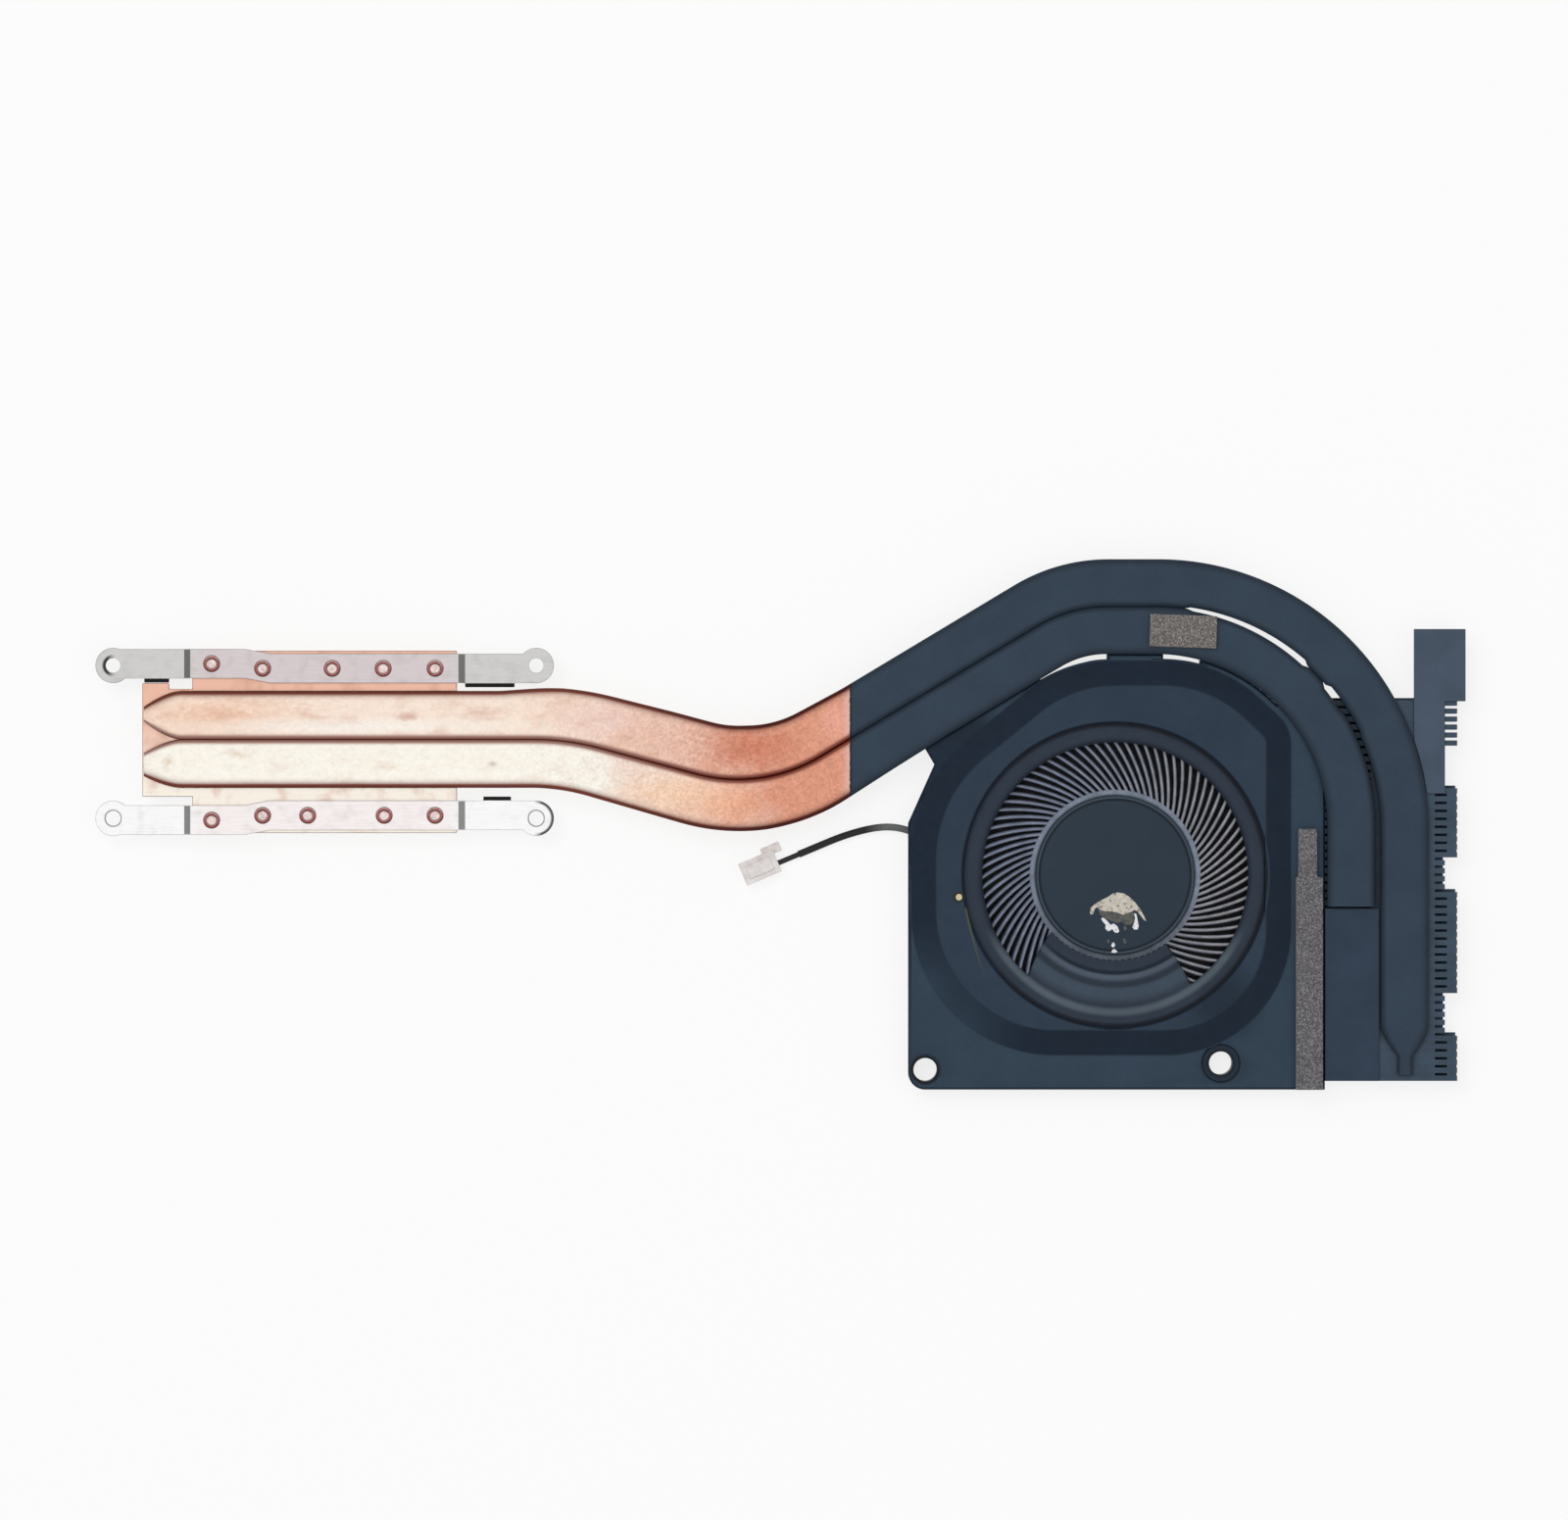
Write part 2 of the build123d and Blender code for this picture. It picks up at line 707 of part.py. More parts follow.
def connector_contacts():
    """Contacts in the plug's cells, seated at the cells' ends."""
    seat = Plane(origin=(plug_length - contact_length, 0, 0), x_dir=(0, 1, 0), z_dir=(1, 0, 0))
    length = contact_length - contact_clearance
    return Compound([plug_frame() * extrude(seat * cell, amount=length) for cell in contact_cells(0)])


def pipe_foam_pad():
    """Foam pad on the inner pipe above the blower."""
    plan = Pos(pipe_pad_x, pipe_pad_y) * Rot(0, 0, pipe_pad_turn)
    return slab(plan * Rectangle(pipe_pad_length, pipe_pad_width), pipe_top, pipe_top + pipe_pad_thickness)


def outlet_foam_strip():
    """Foam strip on the cover's flange along the outlet, narrower at its upper end."""
    plan = rectangle(strip_left, housing_bottom, strip_right, strip_top - strip_neck_length)
    neck_left = strip_left + strip_neck_left_inset
    neck_right = strip_right - strip_neck_right_inset
    plan += rectangle(neck_left, strip_top - strip_neck_length, neck_right, strip_top)
    return slab(plan, flange_top, flange_top + strip_thickness)


nodes = {
    "cold_plate": cold_plate(),
    "upper_spring_bracket": spring_bracket(1, upper_lugs),
    "lower_spring_bracket": spring_bracket(-1, lower_lugs),
    "heat_pipe_inner": heat_pipe(inner_route(), inner_bends, inner_tip_width),
    "heat_pipe_outer": heat_pipe(outer_route(), outer_bends(), outer_tip_width, fin_end_tip_width),
    "fin_stack": fin_stack(),
    "fin_tab_plate": fin_tab_plate(),
    "fin_cover_plate": fin_cover_plate(),
    "fan_cover": fan_cover(),
    "fan_base": fan_base(),
    "impeller": impeller(),
    "rotor_yoke": rotor_yoke(),
    "rotor_magnet": rotor_magnet(),
    "shaft": shaft(),
    "bearing_tube": bearing_tube(),
    "bearing_sleeve": bearing_sleeve(),
    "thrust_pad": thrust_pad(),
    "stator_core": stator_core(),
    "stator_coils": stator_coils(),
    "motor_board": motor_board(),
    "lead_solder_block": solder_block(),
    "fan_lead": fan_lead(),
    "fan_connector": fan_connector(),
    "connector_contacts": connector_contacts(),
    "pipe_foam_pad": pipe_foam_pad(),
    "outlet_foam_strip": outlet_foam_strip(),
}

os.makedirs("parts", exist_ok=True)
for name, shape in nodes.items():
    export_step(shape, f"parts/{name}.step")
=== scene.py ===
import bmesh
import bpy
from math import atan2, ceil, cos, hypot, log, pi, radians, sin, tan
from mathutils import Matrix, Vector, noise


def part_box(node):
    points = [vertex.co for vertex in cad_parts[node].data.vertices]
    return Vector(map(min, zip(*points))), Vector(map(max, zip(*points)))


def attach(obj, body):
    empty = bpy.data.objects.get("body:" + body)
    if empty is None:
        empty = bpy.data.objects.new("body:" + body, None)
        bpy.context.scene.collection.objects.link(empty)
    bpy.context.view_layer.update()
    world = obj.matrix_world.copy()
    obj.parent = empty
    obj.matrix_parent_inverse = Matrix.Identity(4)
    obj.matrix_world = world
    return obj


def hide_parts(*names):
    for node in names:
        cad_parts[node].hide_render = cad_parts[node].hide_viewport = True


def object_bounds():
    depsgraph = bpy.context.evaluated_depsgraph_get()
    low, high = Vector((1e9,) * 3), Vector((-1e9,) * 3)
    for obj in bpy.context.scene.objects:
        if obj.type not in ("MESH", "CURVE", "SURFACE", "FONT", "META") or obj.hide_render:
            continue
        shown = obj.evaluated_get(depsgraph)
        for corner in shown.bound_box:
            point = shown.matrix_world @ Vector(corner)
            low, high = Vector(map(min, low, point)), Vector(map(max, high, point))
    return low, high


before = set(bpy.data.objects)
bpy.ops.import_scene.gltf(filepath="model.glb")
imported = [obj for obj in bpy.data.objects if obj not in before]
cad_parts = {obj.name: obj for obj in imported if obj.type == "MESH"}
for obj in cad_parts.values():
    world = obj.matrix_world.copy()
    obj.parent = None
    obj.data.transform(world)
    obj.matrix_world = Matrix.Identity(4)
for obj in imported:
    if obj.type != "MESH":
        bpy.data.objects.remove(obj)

cad_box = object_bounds()

# Sizes and places are in millimetres and colours in 0 to 255; meshes and lamps are made in metres
MM = 0.001
WELD = 0.001
SHARP_ANGLE = radians(40.0)
FLAT_ANGLE = radians(0.1)
NOISE_RANGE = (0.3, 0.7)

# Photograph: a view straight down, its scale and the pixel of the frame's origin
PHOTO_WIDTH = 1600
PHOTO_HEIGHT = 1551
PIXELS_PER_MM = 6.0
ORIGIN_PIXEL = (331.0, 757.0)
SENSOR = 36.0
LENS = 180.0
FOCUS_HEIGHT = 1.5

# Studio, in metres: lamps by name, place, size and power
LAMPS = [("key", (-0.55, 0.65, 1.75), 1.2, 14.0), ("fill", (0.9, -0.5, 1.7), 1.6, 5.0)]
FLOOR_GLOW = 0.8
FLOOR_SIZE = 3.0
WORLD_LIGHT = 0.5
HORIZON_LIGHT = 0.25

# Fan lead: the route of the CAD lead, its bundle of wires and the sleeve over most of it
LEAD_ROUTE = [
    (105.6, -23.6, -1.9),
    (105.0, -20.2, -2.0),
    (102.9, -17.0, -2.1),
    (99.4, -14.9, -2.2),
    (95.0, -14.3, -2.5),
    (89.0, -15.7, -2.85),
    (83.0, -18.2, -2.97),
    (77.2, -20.65, -2.97),
]
LEAD_DIAMETER = 1.2
BUNDLE_DIAMETER = 0.9
SLEEVE_SHARE = 0.955
SLEEVE_SIDES = 16
WIRE_ROUNDNESS = 4
WIRE_STEPS = 16

# Heat pipes: straight runs and round bends, pressed together, wider at the dip, with swaged ends
PIPE_WIDTH = 7.7
PIPE_GAPS = (0.8, 0.7, 0.3, 0.45, 1.55)
PIPE_PAIR_Y = 0.42
PRESSED_EDGE = 1.3
FREE_EDGE = 2.2
PIPE_SPREAD = 0.15
PIPE_SPREAD_LIMIT = 0.42
PARTING_X = 140.0
PARTING_LIMIT = 0.27
PIPE_CREASE = -0.01
PIPE_BRIDGE = (168.9, 11.5)
BRIDGE_REACH = 4.95
DROP_Y = 3.0
DROP_SPREAD = 0.3
OUTER_SWELL = [(30.0, 0.0), (40.0, 0.7), (58.0, 1.0), (72.0, 1.0), (82.0, 0.45), (90.0, 0.0)]
INNER_SWELL = [
    (36.0, 0.0), (46.0, 0.2), (60.0, 0.5), (74.0, 0.75), (84.0, 0.6), (95.0, 0.2), (104.0, 0.0),
]
PIPE_TIP_THICKNESS = 0.9
TAPER_POWER = 1.6
PIPE_START_TAPER = 6.2
PIPE_END_TAPER = 8.4
DIP_START = 40.95
DIP_END = 74.8
DIP_ANGLE = radians(15.0)
CLIMB_ANGLE = radians(31.0)
INNER_BENDS = (40.0, 31.5, 19.0, 33.3)
BEND_SIDES = (1, -1, 1, 1)
PATH_STEP = 1.0
PIPE_HOLLOW = 0.05
EDGE_SHARE_LIMIT = 0.45
PIPE_TOP_STEPS = 10
PIPE_EDGE_STEPS = 12
PIPE_WAVES = 0.03
WAVE_LENGTH = 9.0
WAVE_WIDTH = 4.0
TAPER_STEPS = 14
OUTER_START_TIP = 1.3
INNER_START_TIP = 2.0
OUTER_END_TIP = 1.3
END_CONE_SHARE = 0.63
END_CONE_POWER = 1.5

# Finish of the bare pipes: where the paint starts; stains by place, half sizes, colour and strength
PAINT_EDGE = 89.25
OUTER_STAINS = [
    ((-19.0, 4.6), (20.0, 5.5), (243, 200, 172), 0.7),
    ((6.0, 2.6), (36.0, 2.0), (255, 250, 242), 0.75),
    ((-17.5, 4.8), (8.5, 1.2), (224, 166, 140), 0.3),
    ((14.3, 4.3), (2.6, 1.0), (196, 134, 120), 0.6),
    ((27.3, 4.8), (4.8, 1.6), (214, 164, 146), 0.45),
    ((47.0, 3.4), (9.0, 4.0), (246, 216, 208), 0.6),
    ((72.0, -1.2), (11.0, 5.0), (206, 118, 90), 0.7),
    ((87.5, 3.6), (4.5, 5.0), (240, 176, 156), 0.8),
]
INNER_STAINS = [
    ((28.5, -3.7), (1.2, 0.5), (190, 176, 160), 0.6),
    ((-14.4, -2.0), (2.8, 1.0), (226, 212, 188), 0.6),
    ((-26.3, -3.3), (1.6, 1.1), (226, 206, 180), 0.6),
    ((10.5, -4.2), (3.0, 1.2), (238, 222, 204), 0.6),
    ((60.5, -8.8), (13.0, 5.5), (255, 214, 180), 0.75),
    ((69.0, -10.6), (7.0, 5.0), (246, 176, 138), 0.6),
]

# Impeller: the hub's cap as radii and drops from its top, the ring round it as drops from the blades' top
BLADE_COUNT = 83
BLADE_SWEEP = radians(33.0)
BLADE_THICKNESS = 0.52
BLADE_LEAN = 0.35
BLADE_STATIONS = 9
BLADE_BOTTOM = -2.2
BLADE_ROUND = 0.2
BLADE_ROOT = 0.3
HUB_RADIUS = 14.6
HUB_CAP_RADIUS = 13.5
HUB_GROOVE = 12.85
HUB_SHOULDER = 0.8
HUB_BORE = 13.2
HUB_CAP_THICKNESS = 0.6
HUB_CAP = [
    (0.0, 0.02), (12.3, 0.0), (12.65, 0.06), (HUB_GROOVE, 0.14), (13.05, 0.06), (13.25, 0.04), (13.4, 0.12),
]
HUB_RING = [(HUB_CAP_RADIUS, 0.05), (13.75, 0.06), (14.2, 0.02), (14.45, 0.06), (HUB_RADIUS, 0.35)]
TURNED_SIDES = 128

# Spring brackets and their rivets; painted shade in an eye has a place, two radii, a side and a grey
BRACKET_ROW = 12.5
BRACKET_JOG = 0.8
JOG_X = -11.5
BRACKET_HALF_WIDTH = 2.5
ARM_TOP = 0.8
LUG_REACH = (23.5, 32.6)
EYE_SPAN = (36.0, 13.0)
EYES = [(x * EYE_SPAN[0], y * EYE_SPAN[1]) for x in (-1, 1) for y in (-1, 1)]
EYE_HOLE_RADIUS = 1.25
EYE_DISH = 0.42
RIM_REACH = 0.1
STEP_LEAN = (0.7, 0.9)
UPPER_EYE_SHADE = ((-36.0, 13.0), 1.25, 1.75, -1, 62)
LOWER_EYE_SHADE = ((36.0, -13.0), 2.6, 3.1, 1, 84)
UPPER_RIVETS = (-19.17, -10.5, 1.33, 10.0, 18.83)
LOWER_RIVETS = (-19.17, -10.5, -2.83, 10.17, 18.83)
RIVET_RADIUS = 1.45
RIVET_HEIGHT = 0.35
RIVET_SIDES = 28
RIVET_OUTLINE = [
    (1.0, 0.0), (1.0, 0.3), (0.93, 0.75), (0.8, 1.0), (0.66, 0.9), (0.56, 0.4), (0.4, 0.25), (0.2, 0.4),
    (0.05, 0.45),
]

# Eased edges: widths
PLUG_EASE = 0.12
PLATE_EASE = 0.16
SHEET_EASE = 0.08
EDGE_EASE = 0.1
SOFT_FOLD = 0.6
HARD_FOLD = 1.0
FLAT_WEIGHT = 80

# Blower cover: foot of the plateau, its slope, rolled edge and screw holes as reaches and drops
AXIS = (134.5, -22.67)
COVER_THICKNESS = 0.5
EMBOSS_CORNERS = [
    (99.3, -53.8), (164.9, -53.8), (164.9, 2.6), (152.5, 14.32), (125.7, 14.32), (99.3, -7.2),
]
EMBOSS_BENDS = (25.0, 22.0, 6.8, 25.0, 25.0, 27.0)
COVER_ROLL = [(0.0, -0.2), (0.12, -0.09), (0.3, -0.02), (0.42, 0.0)]
SLOPE_START = 0.3
SLOPE_END = 4.9
SLOPE_ROWS = 14
SLOPE_EASE = 0.15
SLOPE_GUARD = 0.12
LEAN_LIMIT = 0.4
LEFT_SCREW = (102.2, -55.8)
RIGHT_SCREW = (152.5, -54.7)
SCREW_SEAT = [(3.4, 0.0), (3.15, -0.06), (3.0, -0.2), (2.3, -0.22), (2.0, -0.3)]
SCREW_RIM = [(2.3, 0.0), (2.12, -0.04), (2.0, -0.16)]
SCREW_SIDES = 48

# Inlet: its coined step, its rolled lip in shares of the way to the opening, the tongue over the blades
RING_RADIUS = 25.8
INLET_RADIUS = 22.6
INLET_SIDES = 480
INLET_STEP = [(0.5, 0.0), (0.28, -0.02), (0.12, -0.1), (0.0, -0.24), (-0.12, -0.31), (-0.3, -0.32)]
INLET_LIP = [
    (0.1, -0.3), (0.22, -0.25), (0.36, -0.2), (0.5, -0.18), (0.64, -0.19), (0.76, -0.23), (0.86, -0.3),
    (0.94, -0.38), (1.0, -0.48),
]
TONGUE_EDGE = 14.55
TONGUE_START = radians(231.0)
TONGUE_END = radians(303.0)
TONGUE_TURN = radians(2.5)
TONGUE_FLARE = (radians(-12.0), radians(6.0))
# Bands painted on the tongue, painted reflections and painted shade, as middle radius, half width and
# colour
TONGUE_REFLECTIONS_AND_SHADE = [
    (20.2, 1.9, (60, 73, 88)), (23.3, 0.9, (78, 90, 100)), (17.4, 0.8, (74, 86, 100)),
    (16.6, 0.5, (16, 28, 40)), (18.7, 0.6, (36, 46, 58)),
]

# Marks on the cover: painted shade at a corner and on a shoulder, a corner where the slope's painted shade
# fades, a brass stake, a scratch; halos by place, radii, strength, colour
SHADED_CORNER = (153.0, -44.5)
SHADED_SHOULDER = (104.0, -8.0)
SLOPE_SHADE_FADE = (104.0, -46.0)
STAKE_PLACE = (107.9, -26.4)
STAKE_RADIUS = 0.62
STAKE_HEIGHT = 0.3
STAKE_SIDES = 20
STAKE_OUTLINE = [(1.0, 0.0), (1.0, 0.5), (0.85, 0.9), (0.55, 1.0), (0.35, 0.7), (0.1, 0.65)]
SCRATCH = [(109.0, -28.0), (111.5, -40.5)]
SCRATCH_BOW = 0.006
COVER_HALOS = [
    (RIGHT_SCREW, 2.7, 3.5, 0.7, (12, 20, 30)), (LEFT_SCREW, 2.35, 2.8, 0.85, (10, 14, 20)),
    (STAKE_PLACE, 0.75, 1.2, 0.9, (40, 42, 26)),
]

# Worn foil on the hub
FOIL_LIFT = 0.03
FOIL_FILM = [
    [
        (131.5, -28.2), (132.0, -28.6), (132.7, -28.8), (133.7, -28.8), (134.8, -29.0), (135.8, -29.4),
        (136.6, -29.1), (137.3, -28.9), (137.7, -29.1), (137.7, -30.5), (137.2, -31.1), (136.3, -31.1),
        (135.6, -30.6), (134.9, -30.8), (134.2, -30.6), (133.4, -30.3), (132.5, -29.9), (131.9, -29.3),
    ],
    [(133.1, -33.7), (133.4, -33.6), (133.6, -34.1), (133.2, -34.3)],
    [(135.8, -33.5), (136.2, -33.5), (136.4, -34.2), (136.0, -34.4)],
    [(135.9, -31.4), (136.3, -31.3), (136.5, -31.9), (136.0, -32.1)],
]
FOIL_DOME = [
    [
        (130.2, -29.1), (130.3, -28.3), (131.0, -27.6), (132.0, -27.0), (133.2, -26.4), (134.1, -25.8),
        (134.9, -25.6), (136.0, -25.8), (136.8, -26.3), (137.8, -27.2), (138.7, -28.4), (139.4, -29.6),
        (139.8, -30.5), (139.4, -30.3), (138.8, -29.5), (138.2, -28.8), (137.8, -28.6), (137.3, -28.9),
        (136.6, -29.1), (135.8, -29.4), (134.8, -29.0), (133.7, -28.8), (132.7, -28.8), (132.0, -28.6),
        (131.5, -28.1), (131.0, -28.4), (130.8, -29.2), (130.4, -29.4),
    ],
]
FOIL_DRIPS = [
    [
        (132.1, -30.0), (132.5, -29.9), (133.2, -30.5), (133.7, -31.1), (134.3, -30.9), (134.9, -31.4),
        (135.2, -32.2), (134.9, -32.5), (134.4, -32.4), (134.0, -31.8), (133.7, -32.1), (133.2, -32.2),
        (132.8, -31.7), (132.9, -31.1), (132.4, -30.6),
    ],
    [
        (137.7, -29.1), (138.1, -29.3), (138.3, -30.3), (138.5, -31.3), (138.3, -31.9), (137.7, -31.9),
        (137.4, -31.5), (137.7, -30.8), (137.9, -30.0),
    ],
    [(134.0, -34.2), (134.3, -34.1), (134.5, -34.6), (134.2, -35.0), (133.8, -34.7)],
    [(134.1, -35.3), (134.4, -35.2), (134.9, -35.7), (134.4, -35.9), (133.8, -35.8)],
]

# Fins as in the CAD, the folds between them, the slots left open beside the outer pipe, and the right and
# lower edges of a painted shadow on the fins
FIN_COUNT = 48
FIN_PITCH = 1.358
FIN_GAP = 0.45
FIN_LENGTH = 22.5
FIN_SHORT_LENGTH = 20.4
FIN_NOTCHES = [(7.5, 14.5), (27.0, 32.7), (50.0, 57.0)]
FOLD_START = 178.0
FIN_SHADOW_EDGE = (180.35, -50.0)
FOLD_DEPTH = 0.05
FOLD_SHEET = 0.15
FOLD_LAP = 0.05
SLOT_START = 188.9
SLOT_END = 190.95
COMB_Y = -0.5

# Foam gaskets
FOAM_CELL = 0.26
FOAM_ROUGHNESS = 0.11
FOAM_PITS = [(0.45, 1.0), (0.22, 0.6)]
FOAM_SKIN = (0.35, 0.65)
FOAM_EDGE = 0.5
FOAM_EASE = 0.16
PAD_PLACE = (146.0, 18.8)
PAD_LENGTH = 11.3
PAD_HALF_WIDTH = 2.75
PAD_TURN = radians(-2.0)
STRIP_NECK = 8.3
STRIP_NECK_LEFT = 0.4
STRIP_NECK_RIGHT = 1.0


def tone(colour):
    """A socket as it is, or a linear colour from the 0 to 255 values that it should render as."""
    if isinstance(colour, bpy.types.NodeSocket):
        return colour
    shares = [value / 255 for value in colour]
    linear = [share / 12.92 if share <= 0.04045 else ((share + 0.055) / 1.055) ** 2.4 for share in shares]
    return (*linear, 1.0)


def box(node):
    """A CAD node's lowest and highest corners in millimetres."""
    return [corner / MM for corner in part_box(node)]


def mesh_of(name, vertices, faces):
    """A smooth-shaded mesh with its faces turned outwards."""
    mesh = bpy.data.meshes.new(name)
    mesh.from_pydata([tuple(Vector(vertex) * MM) for vertex in vertices], [], faces)
    shape = bmesh.new()
    shape.from_mesh(mesh)
    bmesh.ops.remove_doubles(shape, verts=shape.verts, dist=WELD * MM)
    bmesh.ops.recalc_face_normals(shape, faces=shape.faces)
    for face in shape.faces:
        face.smooth = True
    shape.to_mesh(mesh)
    shape.free()
    mesh.set_sharp_from_angle(angle=SHARP_ANGLE)
    return mesh


def placed(name, data):
    """An object in the scene."""
    made = bpy.data.objects.new(name, data)
    bpy.context.scene.collection.objects.link(made)
    return made


def piece(name, data, surfaces, body="heatsink", replaces=()):
    """An object made of a mesh or curve, with its materials, that rides on a body."""
    made = placed(name, data)
    for surface in surfaces:
        data.materials.append(surface)
    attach(made, body)
    if replaces:
        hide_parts(*replaces)
    return made


class Nodes:
    """A node tree under construction: each call adds nodes and gives back what they put out."""

    def __init__(self, owner):
        owner.use_nodes = True
        self.tree = owner.node_tree

    def feed(self, socket, value):
        if isinstance(value, bpy.types.NodeSocket):
            self.tree.links.new(value, socket)
        else:
            socket.default_value = value

    def add(self, kind, inputs=None, **settings):
        node = self.tree.nodes.new("ShaderNode" + kind)
        for key, value in settings.items():
            setattr(node, key, value)
        for key, value in (inputs or {}).items():
            self.feed(node.inputs[key], value)
        return node.outputs

    def math(self, operation, first, second=0.0):
        return self.add("Math", {0: first, 1: second}, operation=operation)[0]

    def ramp(self, value, low, high, first=0.0, second=1.0):
        """A value carried from one range to another, and held at its ends."""
        inputs = {"Value": value, "From Min": low, "From Max": high, "To Min": first, "To Max": second}
        return self.add("MapRange", inputs)[0]


class Surface(Nodes):
    """A material whose nodes read the place on the piece in millimetres."""

    def __init__(self, name, **constants):
        self.material = bpy.data.materials.new(name)
        super().__init__(self.material)
        self.shader = self.tree.nodes["Principled BSDF"].inputs
        sockets = {"specular": "Specular IOR Level", "sheen": "Sheen Weight"}
        for key, value in constants.items():
            self.shader[sockets.get(key, key.capitalize())].default_value = value
        coordinates = self.add("TexCoord")
        self.place = self.vector("MULTIPLY", coordinates["Object"], (1 / MM, 1 / MM, 1 / MM))[0]
        self.x, self.y, self.z = self.add("SeparateXYZ", {0: self.place})
        normal = self.add("SeparateXYZ", {0: coordinates["Normal"]})
        self.flatness = self.math("ABSOLUTE", normal["Z"])
        self.facing_back = normal["Y"]

    def vector(self, operation, first, second=(0.0, 0.0, 0.0)):
        return self.add("VectorMath", {0: first, 1: second}, operation=operation)

    def stretched(self, share):
        """Coordinates with X scaled by a share, so that a grain runs along it."""
        return self.vector("MULTIPLY", self.place, (share, 1.0, 1.0))[0]

    def grain(self, size, detail=3.0, place=None):
        """Noise with features of about the given size, from 0 to 1."""
        return self.add("TexNoise", {"Vector": place or self.place, "Scale": 1 / size, "Detail": detail})[0]

    def spread(self, grain, low, high):
        """Noise carried to a range."""
        return self.ramp(grain, *NOISE_RANGE, low, high)

    def vary(self, size, low, high, detail=3.0):
        """A value that wanders between two others over about the given size."""
        return self.spread(self.grain(size, detail), low, high)

    def cells(self, size):
        """Distance to the middle of scattered cells of about the given size."""
        return self.add("TexVoronoi", {"Vector": self.place, "Scale": 1 / size})["Distance"]

    def distance(self, place, reach=(1.0, 1.0)):
        """Distance in plan from a point, in shares of a reach along each axis."""
        aside = self.vector("SUBTRACT", self.place, (*place, 0.0))[0]
        shares = self.vector("MULTIPLY", aside, (1 / reach[0], 1 / reach[1], 0.0))[0]
        return self.vector("LENGTH", shares)["Value"]

    def off(self, value, middle):
        """How far a value is from a middle one."""
        return self.math("ABSOLUTE", self.math("SUBTRACT", value, middle))

    def both(self, first, second):
        return self.math("MULTIPLY", first, second)

    def mix(self, factor, first, second):
        return self.add("Mix", {0: factor, 6: tone(first), 7: tone(second)}, data_type="RGBA")[2]

    def shade(self, colour, factor):
        """A colour times a factor."""
        colour = tone(colour)
        vector = colour[:3] if isinstance(colour, tuple) else colour
        return self.add("VectorMath", {0: vector, "Scale": factor}, operation="SCALE")[0]

    def speckle(self, colour, strength=0.1, fine=0.2, broad=7.0):
        """A colour with fine speckle over broad, faint clouds."""
        grains = self.vary(fine, 1 - strength, 1 + strength, 2.0)
        clouds = self.vary(broad, 1 - strength, 1 + strength)
        return self.shade(colour, self.both(grains, clouds))

    def finish(self, colour, roughness=None, metallic=None, height=None, depth=0.0):
        """Connects what varies over the surface and gives back the material."""
        for socket, value in (("Base Color", colour), ("Roughness", roughness), ("Metallic", metallic)):
            if value is not None:
                self.feed(self.shader[socket], value)
        if height is not None:
            bump = self.add("Bump", {"Height": height, "Distance": depth * MM})
            self.feed(self.shader["Normal"], bump[0])
        return self.material

    def satin(self, colour):
        """The finish of satin paint."""
        return self.finish(colour, self.vary(1.5, 0.42, 0.56), height=self.grain(0.25, 2.0), depth=0.006)


def paint(name, colour, shaded_edge_colour):
    """Satin paint, with painted shade where the sheet leans away from level."""
    skin = Surface(name, specular=0.22)
    # Painted shade: faces that lean from level take the darker edge colour
    level = skin.ramp(skin.flatness, 0.5, 0.95)
    return skin.satin(skin.speckle(skin.mix(level, shaded_edge_colour, colour)))


